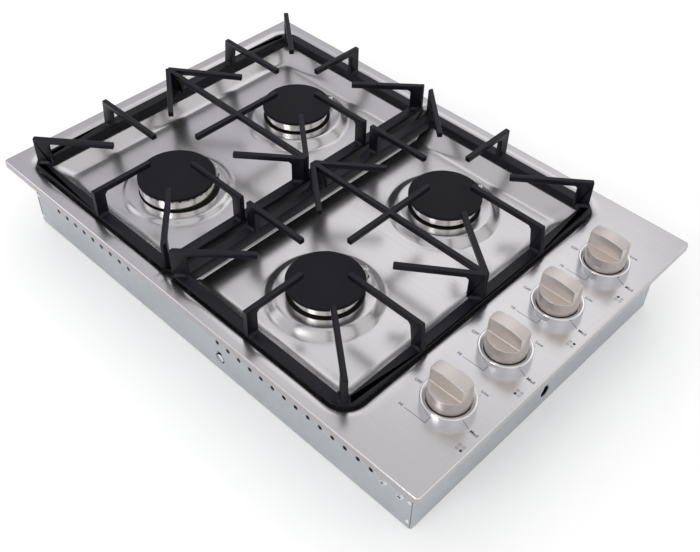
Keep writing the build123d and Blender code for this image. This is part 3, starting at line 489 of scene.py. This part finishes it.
# ---------------------------------------------------------------- top plate
# One sheet of stainless steel, brushed from left to right and pressed: a pan with sloping
# walls, a rib between the burner pairs, a low boss under each burner and a folded rim.
PLATE_TOP = 90.5
PLATE_HALF_WIDTH, PLATE_HALF_DEPTH = 304.8, 214.0
PLATE_CORNER, PLATE_ROLL, PLATE_LIP, SHEET = 4.5, 1.6, 7.5, 1.0
PAN_MIDDLE_X, PAN_HALF_WIDTH, PAN_HALF_DEPTH = -40.0, 250.0, 199.5
PAN_DEEP, PAN_WALL, PAN_RIM_CORNER, PAN_FLOOR_CORNER = 22.0, 34.0, 25.0, 12.0
RIB_X, RIB_FOOT, RIB_CREST, RIB_RISE = -39.0, 12.0, 8.0, 8.5
BOSS_FOOT = 61.5
RIM_FOLD, FLOOR_FOLD, RIB_FOLD, BOSS_FOLD = 3.0, 4.0, 1.4, 1.1
BLEND = 8
BURNERS = {
    "left_front": {
        "at": (-155.0, -91.5), "crown": 57.0, "rise": 2.8, "hole": 45.0, "off": (1.8, 0.9),
    },
    "left_back": {
        "at": (-155.0, 91.5), "crown": 52.0, "rise": 7.3, "hole": 40.0, "off": (0.0, 0.0),
    },
    "right_front": {
        "at": (77.0, -91.5), "crown": 52.0, "rise": 7.3, "hole": 40.0, "off": (0.0, 0.0),
    },
    "right_back": {
        "at": (77.0, 91.5), "crown": 52.0, "rise": 7.3, "hole": 40.0, "off": (0.0, 0.0),
    },
}
KNOB_X = 258.8
KNOBS = {
    "right_front": (KNOB_X, -121.5),
    "left_front": (KNOB_X, -40.5),
    "right_back": (KNOB_X, 40.5),
    "left_back": (KNOB_X, 121.5),
}
ELECTRODE_CIRCLE, ELECTRODE_TURN = 45.5, math.radians(71.0)
ELECTRODE_HOLE, STEM_HOLE = 3.6, 5.5
ROUND_STEPS = 96
PUNCH_LONG, PUNCH_BELOW_TOP = 60, 12.0


def graded(*stops):
    """Grid lines from stop to stop; each stop gives its place and the step up to it."""
    lines = [stops[0][0]]
    for (start, _), (end, step) in zip(stops, stops[1:]):
        count = max(1, round((end - start) / step))
        lines += [start + (end - start) * (i + 1) / count for i in range(count)]
    return np.array(lines)


def folded(run, reach):
    """The positive part of a run, with a rounded fold that reaches to both sides of zero."""
    fold = (run + reach) ** 2 / (4 * reach)
    return np.where(run < -reach, 0.0, np.where(run < reach, fold, run))


def pressed(run, length, rise, foot, crest):
    """A slope of a pressing, flat before its foot and after its crest."""
    up = length - folded(length - folded(run, foot), crest)
    return rise * up / length


def pan_run(x, y):
    """How far in from the rim of the pan a place lies, with rounded corners that shrink."""
    u = PAN_HALF_WIDTH - np.abs(x - PAN_MIDDLE_X)
    v = PAN_HALF_DEPTH - np.abs(y)
    shrink = (PAN_RIM_CORNER - PAN_FLOOR_CORNER) / PAN_WALL
    near = np.minimum(u, v)
    a = 2 * (1 - shrink) ** 2 - shrink**2
    b = 4 * PAN_RIM_CORNER * (1 - shrink) - 2 * (1 - shrink) * (u + v)
    b = b + 2 * PAN_RIM_CORNER * shrink
    c = PAN_RIM_CORNER**2 - 2 * PAN_RIM_CORNER * (u + v) + u**2 + v**2
    round_run = (-b + np.sqrt(np.maximum(b**2 - 4 * a * c, 0.0))) / (2 * a)
    straight = np.maximum(u, v) >= PAN_RIM_CORNER + (1 - shrink) * near
    return np.where(straight, near, round_run)


def plate_rise(x, y):
    """Height of the sheet above the pan floor, the pressings blended into each other."""
    pan = PAN_DEEP - pressed(pan_run(x, y), PAN_WALL, PAN_DEEP, RIM_FOLD, FLOOR_FOLD)
    rib_run = RIB_FOOT - np.abs(x - RIB_X)
    rib = pressed(rib_run, RIB_FOOT - RIB_CREST, RIB_RISE, RIB_FOLD, RIB_FOLD)
    total = pan**BLEND + rib**BLEND
    for burner in BURNERS.values():
        run = BOSS_FOOT - np.hypot(x - burner["at"][0], y - burner["at"][1])
        length = BOSS_FOOT - burner["crown"]
        boss = pressed(run, length, burner["rise"], BOSS_FOLD, BOSS_FOLD)
        total = total + boss**BLEND
    return total ** (1 / BLEND)


# Grid of the sheet: lines stand close over the walls and bosses and wide over the flats
flat_x = PLATE_HALF_WIDTH - PLATE_CORNER
flat_y = PLATE_HALF_DEPTH - PLATE_CORNER
across = graded(
    (-flat_x, 0), (-293, 3.6), (-252, 2.5), (-218, 4), (-92, 1.9), (-54, 4), (-24, 1.2),
    (14, 4), (140, 1.9), (172, 4), (213, 2.5), (251, 7), (flat_x, 7),
)
along = graded((0, 0), (28, 4), (155, 1.9), (161, 3), (202.5, 2.5), (flat_y, 3.5))
along = np.concatenate([-along[:0:-1], along])
grid_x, grid_y = np.meshgrid(across, along, indexing="ij")
grid_z = PLATE_TOP - PAN_DEEP + plate_rise(grid_x, grid_y)
columns, rows = grid_x.shape
points = [tuple(p) for p in np.stack([grid_x, grid_y, grid_z], axis=-1).reshape(-1, 3)]
faces = [
    (i * rows + j, (i + 1) * rows + j, (i + 1) * rows + j + 1, i * rows + j + 1)
    for i in range(columns - 1)
    for j in range(rows - 1)
]

# Border of the grid, counter-clockwise, with the way out from each of its points
CORNER_STEPS = 6
border = []
for side_points, way in (
    ([i * rows for i in range(columns)], -90.0),
    ([(columns - 1) * rows + j for j in range(rows)], 0.0),
    ([i * rows + rows - 1 for i in reversed(range(columns))], 90.0),
    (list(reversed(range(rows))), 180.0),
):
    border += [(point, way) for point in side_points]
    border += [
        (side_points[-1], way + 90.0 * step / CORNER_STEPS) for step in range(1, CORNER_STEPS)
    ]

# The sheet rolls over at the border and runs down to the foot of the lip
ROLL_MARGIN = 0.25
roll = [(PLATE_CORNER - PLATE_ROLL - ROLL_MARGIN, 0.0)]
for angle in (0.0, 22.5, 45.0, 67.5, 90.0):
    turn = math.radians(angle)
    out = PLATE_CORNER - PLATE_ROLL * (1 - math.sin(turn))
    roll.append((out, PLATE_ROLL * (1 - math.cos(turn))))
roll += [(PLATE_CORNER, PLATE_ROLL + ROLL_MARGIN), (PLATE_CORNER, PLATE_LIP)]
last = [point for point, way in border]
for out, drop in roll:
    ring = []
    for point, way in border:
        x, y, z = points[point]
        turn = math.radians(way)
        ring.append(len(points))
        points.append((x + out * math.cos(turn), y + out * math.sin(turn), PLATE_TOP - drop))
    for i in range(len(ring)):
        after = (i + 1) % len(ring)
        face = list(dict.fromkeys((last[i], ring[i], ring[after], last[after])))
        if len(face) > 2:
            faces.append(face)
    last = ring
sheet = bpy.data.meshes.new("plate_sheet")
sheet.from_pydata([(x * MM, y * MM, z * MM) for x, y, z in points], [], faces)
sheet.validate()
shape = welded(sheet)
shape.to_mesh(sheet)
shape.free()


def add_round(shape, radius, high, middle, steps):
    """Adds an upright cylinder to a bmesh, in millimetres."""
    wall = bmesh.ops.create_cone(
        shape, cap_ends=True, segments=steps, radius1=radius * MM, radius2=radius * MM,
        depth=high * MM,
    )["verts"]
    bmesh.ops.translate(shape, verts=wall, vec=[part * MM for part in middle])


def tool_from(shape, name):
    """A cutting tool for a boolean, from a bmesh."""
    mesh = bpy.data.meshes.new(name)
    shape.to_mesh(mesh)
    shape.free()
    return place(name, mesh)


def punches(name, holes):
    """The round punches that cut the holes, each (x, y, radius)."""
    shape = bmesh.new()
    for x, y, radius in holes:
        middle = (x, y, PLATE_TOP - PUNCH_BELOW_TOP)
        add_round(shape, radius, PUNCH_LONG, middle, ROUND_STEPS)
    return tool_from(shape, name)


burner_holes, small_holes = [], []
for burner in BURNERS.values():
    (x, y), (off_x, off_y) = burner["at"], burner["off"]
    burner_holes.append((x + off_x, y + off_y, burner["hole"]))
    electrode_x = x + ELECTRODE_CIRCLE * math.cos(ELECTRODE_TURN)
    electrode_y = y + ELECTRODE_CIRCLE * math.sin(ELECTRODE_TURN)
    small_holes.append((electrode_x, electrode_y, ELECTRODE_HOLE))
small_holes += [(x, y, STEM_HOLE) for x, y in KNOBS.values()]
tools = (punches("burner_punches", burner_holes), punches("small_punches", small_holes))


def sheet_and_holes(thing):
    """Gives the sheet its thickness and cuts its holes."""
    wall = thing.modifiers.new("sheet", "SOLIDIFY")
    wall.thickness = SHEET * MM
    wall.offset = -1.0
    for tool in tools:
        cut = thing.modifiers.new("cut", "BOOLEAN")
        cut.operation = "DIFFERENCE"
        cut.solver = "EXACT"
        cut.object = tool


plate_mesh = smoothed(finished_mesh(sheet, sheet_and_holes))
for tool in tools:
    bpy.data.objects.remove(tool)

brushed_stainless, tree, shader = new_material("brushed_stainless")
shader.inputs["Metallic"].default_value = 1.0
fine = object_noise(tree, 1.0, 2.0, (22.0, 3200.0, 3200.0), 0.5)
broad = object_noise(tree, 1.0, 2.0, (3.0, 320.0, 320.0), 0.5)
tone = two_tones(tree, fine, (0.603, 0.588, 0.590), (0.633, 0.618, 0.620))

# A painted highlight brightens the fold where it turns over, and painted shade darkens the lip
# below it. Both are placed by the way out from the flat of the sheet, seen from above.
way_out = add_node(tree, "ShaderNodeTexCoord").outputs["Object"]
for operation, operand in (
    ("ABSOLUTE", None),
    ("SUBTRACT", (flat_x * MM, flat_y * MM, 0.0)),
    ("MULTIPLY", (1.0, 1.0, 0.0)),
    ("MAXIMUM", (0.0, 0.0, 0.0)),
    ("LENGTH", None),
):
    inputs = {0: way_out} if operand is None else {0: way_out, 1: operand}
    step = add_node(tree, "ShaderNodeVectorMath", inputs, operation=operation)
    way_out = step.outputs["Value" if operation == "LENGTH" else "Vector"]
HIGHLIGHT_START, HIGHLIGHT_FULL = PLATE_CORNER - PLATE_ROLL, PLATE_CORNER - PLATE_ROLL + 0.4
LIP_SHADE_START, LIP_SHADE_FULL = PLATE_CORNER - 0.3, PLATE_CORNER - 0.1
for start, end, colour in (
    (HIGHLIGHT_START, HIGHLIGHT_FULL, (0.84, 0.83, 0.85, 1.0)),
    (LIP_SHADE_START, LIP_SHADE_FULL, (0.42, 0.385, 0.395, 1.0)),
):
    share = between(tree, way_out, 0.0, 1.0, start * MM, end * MM)
    tone = mixed_colour(tree, share, tone, colour)
tree.links.new(tone, shader.inputs["Base Color"])
tree.links.new(between(tree, broad, 0.235, 0.26), shader.inputs["Roughness"])
relief(tree, shader, fine, 0.00001, 0.10)
settle("plate_skin", plate_mesh, brushed_stainless, "cooktop", "stainless", "top_plate")

# ---------------------------------------------------------------- burners
# Each burner is a cup under the plate, near black as painted shade in the gap below the ring,
# an aluminium ring with the flame ports and a cast-iron cap with matt black enamel that lies
# loose on the ring.
cap_enamel = plain_finish(
    "cap_enamel", (1400.0, 3.0), (0.0070, 0.0068, 0.0098), (0.0120, 0.0117, 0.0160),
    (0.52, 0.62), shine=0.16, bump=(0.00005, 0.35),
)
turned_aluminium = plain_finish(
    "turned_aluminium", (1.0, 2.0, (30.0, 30.0, 2500.0), 0.6),
    (0.82, 0.81, 0.79), (0.90, 0.89, 0.87), (0.12, 0.20), metal=1.0, bump=(0.00001, 0.15),
)
# The cups' near-black colour is painted shade for the gap under each flame ring
cup_painted_shade = plain_finish(
    "cup_painted_shade", (600.0, 3.0), (0.006, 0.006, 0.006), (0.014, 0.014, 0.014), 0.7,
    shine=0.2, bump=(0.0001, 0.5),
)
for burner in BURNERS:
    dress(f"burner_cap_{burner}", cap_enamel)
    dress(f"flame_ring_{burner}", turned_aluminium)
    dress(f"burner_cup_{burner}", cup_painted_shade)

# ---------------------------------------------------------------- grates
# Two iron castings with matt black enamel. Each has a frame that sits in the pan on rubber
# feet, posts with a flared base and slim fingers that carry the pots. The enamel rounds
# every edge of the casting a little.
GRATE_EDGE, GRATE_EDGE_STEPS, GRATE_EDGE_ABOVE = 0.7, 2, 32.0
FLAT_WITHIN = 0.4


def round_edges(thing, width, segments, above):
    """Rounds edges that turn by more than an angle, to a small width in millimetres."""
    bevel = thing.modifiers.new("ease", "BEVEL")
    bevel.width = width * MM
    bevel.segments = segments
    bevel.limit_method = "ANGLE"
    bevel.angle_limit = math.radians(above)
    bevel.use_clamp_overlap = False
    bevel.harden_normals = True


def eased_copy(node, width, segments, above):
    """A copy of a node's mesh with its edges rounded."""
    mesh = nodes[node].data.copy()
    shape = welded(mesh)
    bmesh.ops.dissolve_limit(
        shape, angle_limit=math.radians(FLAT_WITHIN), verts=shape.verts, edges=shape.edges
    )
    for face in shape.faces:
        face.smooth = True
    shape.to_mesh(mesh)
    shape.free()
    return finished_mesh(mesh, lambda thing: round_edges(thing, width, segments, above))


grate_enamel = plain_finish(
    "grate_enamel", (420.0, 4.0), (0.0036, 0.0036, 0.0076), (0.0068, 0.0068, 0.0128),
    (0.36, 0.46), shine=0.28, bump=(0.00025, 0.2),
)
foot_rubber = plain_finish(
    "foot_rubber", (500.0, 2.0), (0.012, 0.012, 0.012), (0.03, 0.03, 0.03), 0.85
)
for side in ("left", "right"):
    grate = f"grate_{side}"
    casting = eased_copy(grate, GRATE_EDGE, GRATE_EDGE_STEPS, GRATE_EDGE_ABOVE)
    settle(f"grate_casting_{side}", casting, grate_enamel, grate, "enamelled_iron", grate)
    dress(f"grate_feet_{side}", foot_rubber)

# ---------------------------------------------------------------- spark electrodes
# White glazed ceramic tube with a steel pin, standing in its own hole beside each burner.
# The zinc-plated steel of the pins is also that of the screws, stems and gas pipe.
white_ceramic = plain_finish(
    "white_ceramic", (300.0, 2.0), (0.80, 0.79, 0.75), (0.88, 0.87, 0.84), 0.22
)
zinc_plated = plain_finish(
    "zinc_plated_steel", (500.0, 3.0), (0.74, 0.74, 0.75), (0.86, 0.86, 0.87), (0.28, 0.40),
    metal=1.0,
)
dress("electrode_ceramics", white_ceramic)
for node in ("spark_pins", "rail_screws", "manifold_pipe"):
    dress(node, zinc_plated)

# ---------------------------------------------------------------- knobs and bezels
# Moulded knob with a satin warm-nickel coat: a drum with a grip bar across it whose top is
# arched, inside a polished chrome bezel that stands on the plate and dips to its bore.
warm_nickel = plain_finish(
    "warm_nickel", (1.0, 3.0, (30.0, 1800.0, 1800.0), 0.6),
    (0.605, 0.555, 0.520), (0.665, 0.615, 0.580), (0.28, 0.36), metal=1.0,
    bump=(0.00001, 0.3),
)
polished_chrome = plain_finish(
    "polished_chrome", (60.0, 2.0), (0.80, 0.81, 0.83), (0.88, 0.88, 0.90), (0.04, 0.08),
    metal=1.0,
)

BEZEL_OUTSIDE, BEZEL_BORE, BEZEL_RISE = 26.0, 21.3, 10.3
OUTER_EDGE, INNER_EDGE, CREST_RADIUS, INNER_DIP = 1.1, 0.7, 24.2, 1.5
EDGE_STEP = 15.0
inner_top = BEZEL_RISE - INNER_DIP
bezel_profile = [(BEZEL_BORE, 0.0), (BEZEL_BORE, inner_top - 2 * INNER_EDGE)]
for step in range(5):
    turn = math.radians(180.0 - EDGE_STEP * step)
    radius = BEZEL_BORE + INNER_EDGE * (1 + math.cos(turn))
    bezel_profile.append((radius, inner_top - INNER_EDGE * (1.2 - math.sin(turn))))
bezel_profile += [(CREST_RADIUS - 0.5, BEZEL_RISE - 0.25), (CREST_RADIUS, BEZEL_RISE - 0.05)]
for step in range(7):
    turn = math.radians(90.0 - EDGE_STEP * step)
    radius = BEZEL_OUTSIDE + OUTER_EDGE * (math.cos(turn) - 1)
    bezel_profile.append((radius, BEZEL_RISE + OUTER_EDGE * (math.sin(turn) - 1)))
bezel_profile.append((BEZEL_OUTSIDE, 0.0))

# The drum is turned too tall by KNOB_SPARE, and the grip form cuts it down to its top
KNOB_RADIUS, KNOB_DRAFT = 20.6, math.tan(math.radians(1.6))
KNOB_BASE, KNOB_SHELF, KNOB_TOP, TOP_ARCH, KNOB_SPARE = 5.0, 24.0, 38.0, 2.8, 8.0
GRIP_TOP_HALF, GRIP_FOOT_HALF, GRIP_FILLET = 7.0, 7.2, 1.3
FILLET_STEPS, ARCH_STEPS, FORM_PAST_DRUM = 6, 32, 3.0
HOLLOW_RADIUS, HOLLOW_DEPTH, HUB_RADIUS, BORE_RADIUS, BORE_DEPTH = 16.5, 8.0, 6.5, 3.0, 16.0
KNOB_WELD = 0.03
KNOB_EDGE, KNOB_EDGE_STEPS, KNOB_EDGE_ABOVE = 0.5, 3, 40.0


def grip_form():
    """The form that leaves a grip bar with an arched top and filleted feet on the drum."""
    reach = KNOB_RADIUS + FORM_PAST_DRUM
    half = [(GRIP_TOP_HALF, None)]
    for step in range(FILLET_STEPS):
        turn = math.radians(90.0 * step / (FILLET_STEPS - 1))
        foot = GRIP_FOOT_HALF + GRIP_FILLET * (1 - math.cos(turn))
        half.append((foot, KNOB_SHELF + GRIP_FILLET * (1 - math.sin(turn))))
    half += [(reach, KNOB_SHELF), (reach, 0.0)]
    section = half + [(-y, z) for y, z in reversed(half)]
    shape = bmesh.new()
    stations = []
    for step in range(ARCH_STEPS + 1):
        x = reach * (step / (ARCH_STEPS / 2) - 1)
        crest = KNOB_TOP + TOP_ARCH * (1 - (x / KNOB_RADIUS) ** 2)
        stations.append(
            [
                shape.verts.new((x * MM, y * MM, (crest if z is None else z) * MM))
                for y, z in section
            ]
        )
    for near, far in zip(stations, stations[1:]):
        for i in range(len(section)):
            after = (i + 1) % len(section)
            shape.faces.new((near[i], near[after], far[after], far[i]))
    shape.faces.new(stations[0])
    shape.faces.new(stations[-1])
    bmesh.ops.recalc_face_normals(shape, faces=shape.faces)
    return tool_from(shape, "grip_form")


def knob_mesh():
    """Drafted drum, cut down on both sides to leave the grip bar."""
    drum_top = KNOB_TOP + KNOB_SPARE
    drum_profile = [
        (BORE_RADIUS, KNOB_BASE),
        (HUB_RADIUS, KNOB_BASE),
        (HUB_RADIUS, KNOB_BASE + HOLLOW_DEPTH),
        (HOLLOW_RADIUS, KNOB_BASE + HOLLOW_DEPTH),
        (HOLLOW_RADIUS, KNOB_BASE),
        (KNOB_RADIUS, KNOB_BASE),
        (KNOB_RADIUS - (drum_top - KNOB_BASE) * KNOB_DRAFT, drum_top),
        (0, drum_top),
        (0, KNOB_BASE + BORE_DEPTH),
        (BORE_RADIUS, KNOB_BASE + BORE_DEPTH),
    ]
    drum = mesh_from(lathe(drum_profile, ROUND_STEPS), "drum")
    form = grip_form()

    def shape_grip(thing):
        cut = thing.modifiers.new("grip", "BOOLEAN")
        cut.operation = "INTERSECT"
        cut.solver = "EXACT"
        cut.object = form
        weld = thing.modifiers.new("weld", "WELD")
        weld.merge_threshold = KNOB_WELD * MM
        round_edges(thing, KNOB_EDGE, KNOB_EDGE_STEPS, KNOB_EDGE_ABOVE)

    result = finished_mesh(drum, shape_grip)
    bpy.data.objects.remove(form)
    return result


for burner, (x, y) in KNOBS.items():
    foot = (x * MM, y * MM, PLATE_TOP * MM)
    bezel = lathe(bezel_profile, ROUND_STEPS)
    bmesh.ops.translate(bezel, verts=bezel.verts, vec=foot)
    settle(
        f"bezel_ring_{burner}", mesh_from(bezel, "bezel_ring"), polished_chrome,
        "cooktop", "bezel_chrome", f"bezel_{burner}",
    )
    knob = knob_mesh()
    knob.transform(Matrix.Translation(foot))
    settle(
        f"knob_skin_{burner}", knob, warm_nickel,
        f"control_{burner}", "knob_nickel", f"knob_{burner}",
    )
    dress(f"valve_stem_{burner}", zinc_plated)


# ---------------------------------------------------------------- dial print
# Screen print in dark grey ink round each knob: off, high, medium and low with thin leader
# lines, and four small squares of which the filled one shows the knob's burner.
INK_HIGH, INK_DEEP = 0.04, 0.02
INK_THICK = INK_HIGH + INK_DEEP
INK_MIDDLE = PLATE_TOP + (INK_HIGH - INK_DEEP) / 2
INK_WELD = 1e-7
LETTER_SWELL, LETTER_STEPS = 0.05, 3
LINE_WIDE = 0.46
WORDS = (
    ("OFF", (-34.6, 0.3), 4.7),
    ("HI", (-28.9, -29.9), 4.6),
    ("Med", (36.6, -9.3), 5.0),
    ("Low", (16.6, 31.6), 4.7),
)
LEADERS = (
    ((-23.9, -30.4), (-0.8, -30.1)),
    ((-0.8, -30.1), (-1.0, -26.1)),
    ((25.3, -6.6), (28.2, -7.6)),
    ((28.2, -7.6), (30.2, -8.9)),
    ((14.4, 25.4), (15.0, 27.2)),
)
ICON_AT, ICON_APART = (37.3, -28.4), 2.1
SQUARE_SIDE, SQUARE_LINE, DOT_RADIUS, DOT_STEPS = 2.5, 0.35, 1.45, 24
ICON_PLACES = {
    "right_front": (1, -1), "left_front": (-1, -1), "right_back": (1, 1), "left_back": (-1, 1),
}


def ink_bar(shape, start, end, width):
    """A thin printed line between two places on the plate."""
    start, end = Vector(start), Vector(end)
    way = end - start
    middle = (start + end) / 2
    add_bar(
        shape,
        (way.length + width, width, INK_THICK),
        (middle.x, middle.y, INK_MIDDLE),
        math.atan2(way.y, way.x),
    )


def ink_word(shape, word, middle, size):
    """A printed word, read from the front of the cooktop."""
    letters = bpy.data.curves.new("letters", "FONT")
    letters.body = word
    letters.size = size * MM
    letters.align_x = "CENTER"
    letters.align_y = "CENTER"
    letters.extrude = INK_THICK / 2 * MM
    letters.resolution_u = LETTER_STEPS
    letters.offset = LETTER_SWELL * MM
    blank = place("letters", letters)
    graph = bpy.context.evaluated_depsgraph_get()
    mesh = bpy.data.meshes.new_from_object(blank.evaluated_get(graph))
    bpy.data.objects.remove(blank)
    mesh.transform(Matrix.Translation((middle[0] * MM, middle[1] * MM, INK_MIDDLE * MM)))
    shape.from_mesh(mesh)
    bpy.data.meshes.remove(mesh)


print_shape = bmesh.new()
for burner, (x, y) in KNOBS.items():
    for word, spot, size in WORDS:
        ink_word(print_shape, word, (x + spot[0], y + spot[1]), size)
    for start, end in LEADERS:
        ink_bar(
            print_shape, (x + start[0], y + start[1]), (x + end[0], y + end[1]), LINE_WIDE
        )
    for spot in ICON_PLACES.values():
        middle_x = x + ICON_AT[0] + spot[0] * ICON_APART
        middle_y = y + ICON_AT[1] + spot[1] * ICON_APART
        if spot == ICON_PLACES[burner]:
            middle = (middle_x, middle_y, INK_MIDDLE)
            add_round(print_shape, DOT_RADIUS, INK_THICK, middle, DOT_STEPS)
            continue
        half = (SQUARE_SIDE - SQUARE_LINE) / 2
        corners = [
            (middle_x + a * half, middle_y + b * half)
            for a, b in ((-1, -1), (1, -1), (1, 1), (-1, 1))
        ]
        for corner, after in zip(corners, corners[1:] + corners[:1]):
            ink_bar(print_shape, corner, after, SQUARE_LINE)
ink = plain_finish(
    "printing_ink", (2500.0, 2.0), (0.028, 0.028, 0.032), (0.050, 0.050, 0.055), (0.45, 0.60)
)
bmesh.ops.remove_doubles(print_shape, verts=print_shape.verts, dist=INK_WELD)
settle("dial_print", mesh_from(print_shape, "dial_print"), ink, "cooktop", "black_plastic")

# ---------------------------------------------------------------- gas side, inside the box
# Die-cast valves with brass plugs hang under a galvanised rail and stand on a steel pipe;
# soft aluminium tubes feed the brass jets. The pipe ends in a brass inlet at the back.
die_cast = plain_finish(
    "die_cast_alloy", (350.0, 3.0), (0.42, 0.42, 0.42), (0.56, 0.56, 0.56), (0.42, 0.56),
    metal=0.9, bump=(0.0001, 0.3),
)
brass = plain_finish(
    "machined_brass", (400.0, 3.0), (0.55, 0.38, 0.15), (0.70, 0.52, 0.24), (0.22, 0.34),
    metal=1.0,
)
tube_aluminium = plain_finish(
    "drawn_aluminium", (1.0, 2.0, (20.0, 900.0, 900.0)),
    (0.60, 0.60, 0.60), (0.74, 0.74, 0.74), (0.28, 0.38), metal=1.0,
)
dress("valve_rail", galvanised)
dress("gas_jets", brass)
for burner in BURNERS:
    dress(f"valve_body_{burner}", die_cast)
    dress(f"valve_plug_{burner}", brass)
    dress(f"feed_tube_{burner}", tube_aluminium)

# Half-inch pipe thread on the inlet: its stub is turned down to the root and a ridge wound on
INLET_X, INLET_HEIGHT, COLLAR_FACE = 236.0, 64.0, 198.5
THREAD_CREST, THREAD_ROOT, CREST_WITHIN = 10.48, 9.35, 0.05
THREAD_START, THREAD_LENGTH, THREAD_TURNS, RIDGE_RADIUS = 1.0, 12.4, 6.8, 0.9
stub = nodes["gas_inlet"].data.copy()
shape = welded(stub)
for vert in shape.verts:
    from_axis = Vector((vert.co.x - INLET_X * MM, vert.co.z - INLET_HEIGHT * MM))
    on_crest = abs(from_axis.length - THREAD_CREST * MM) < CREST_WITHIN * MM
    if on_crest and vert.co.y > (COLLAR_FACE - 0.2) * MM:
        from_axis *= THREAD_ROOT / THREAD_CREST
        vert.co.x = INLET_X * MM + from_axis.x
        vert.co.z = INLET_HEIGHT * MM + from_axis.y
shape.to_mesh(stub)
shape.free()

thread_sizes = {
    "Root radius": THREAD_ROOT * MM, "Length": THREAD_LENGTH * MM, "Turns": THREAD_TURNS,
    "Ridge": 0.8 * MM,
}
ridge_tree, given = node_group("thread_ridge", "Base", thread_sizes, "Thread")
spiral = add_node(
    ridge_tree,
    "GeometryNodeCurveSpiral",
    {
        "Resolution": 40,
        "Rotations": given["Turns"],
        "Start Radius": given["Root radius"],
        "End Radius": given["Root radius"],
        "Height": given["Length"],
    },
)
upright = add_node(
    ridge_tree, "GeometryNodeSetCurveNormal", {"Curve": spiral.outputs["Curve"]}, mode="Z_UP"
)
section = add_node(
    ridge_tree, "GeometryNodeCurvePrimitiveCircle", {"Resolution": 6, "Radius": given["Ridge"]}
)
sweep = add_node(
    ridge_tree,
    "GeometryNodeCurveToMesh",
    {
        "Curve": upright.outputs["Curve"],
        "Profile Curve": section.outputs["Curve"],
        "Fill Caps": True,
    },
)
end_group(ridge_tree, given, sweep.outputs["Mesh"], "Thread")

thread_base = bpy.data.meshes.new("thread_base")
thread_base.from_pydata([(0, 0, 0)], [], [])
ridge = finished_mesh(
    thread_base, with_tree(ridge_tree, {"Ridge": RIDGE_RADIUS * MM, "Finish": brass})
)
ridge.transform(
    Matrix.Translation((INLET_X * MM, (COLLAR_FACE + THREAD_START) * MM, INLET_HEIGHT * MM))
    @ Matrix.Rotation(math.radians(-90), 4, "X")
)
shape = bmesh.new()
shape.from_mesh(stub)
shape.from_mesh(ridge)
inlet = mesh_from(shape, "inlet_threaded")
settle("inlet_threaded", inlet, brass, "cooktop", "brass", "gas_inlet")

# ---------------------------------------------------------------- ignition
# Potted spark unit with silicone leads, a push switch round each stem and the harness that
# joins them, and a nylon gland for the cord.
black_nylon = plain_finish(
    "black_nylon", (900.0, 2.0), (0.012, 0.012, 0.012), (0.022, 0.022, 0.022), (0.45, 0.55)
)
potted_case = plain_finish(
    "potted_case", (700.0, 2.0), (0.72, 0.71, 0.66), (0.80, 0.79, 0.74), 0.5
)
silicone = plain_finish(
    "silicone_lead", (900.0, 2.0), (0.40, 0.06, 0.03), (0.48, 0.09, 0.05), 0.6
)
for node in ("cord_gland", "ignition_switches", "switch_harness"):
    dress(node, black_nylon)
dress("spark_module", potted_case)
dress("spark_leads", silicone)
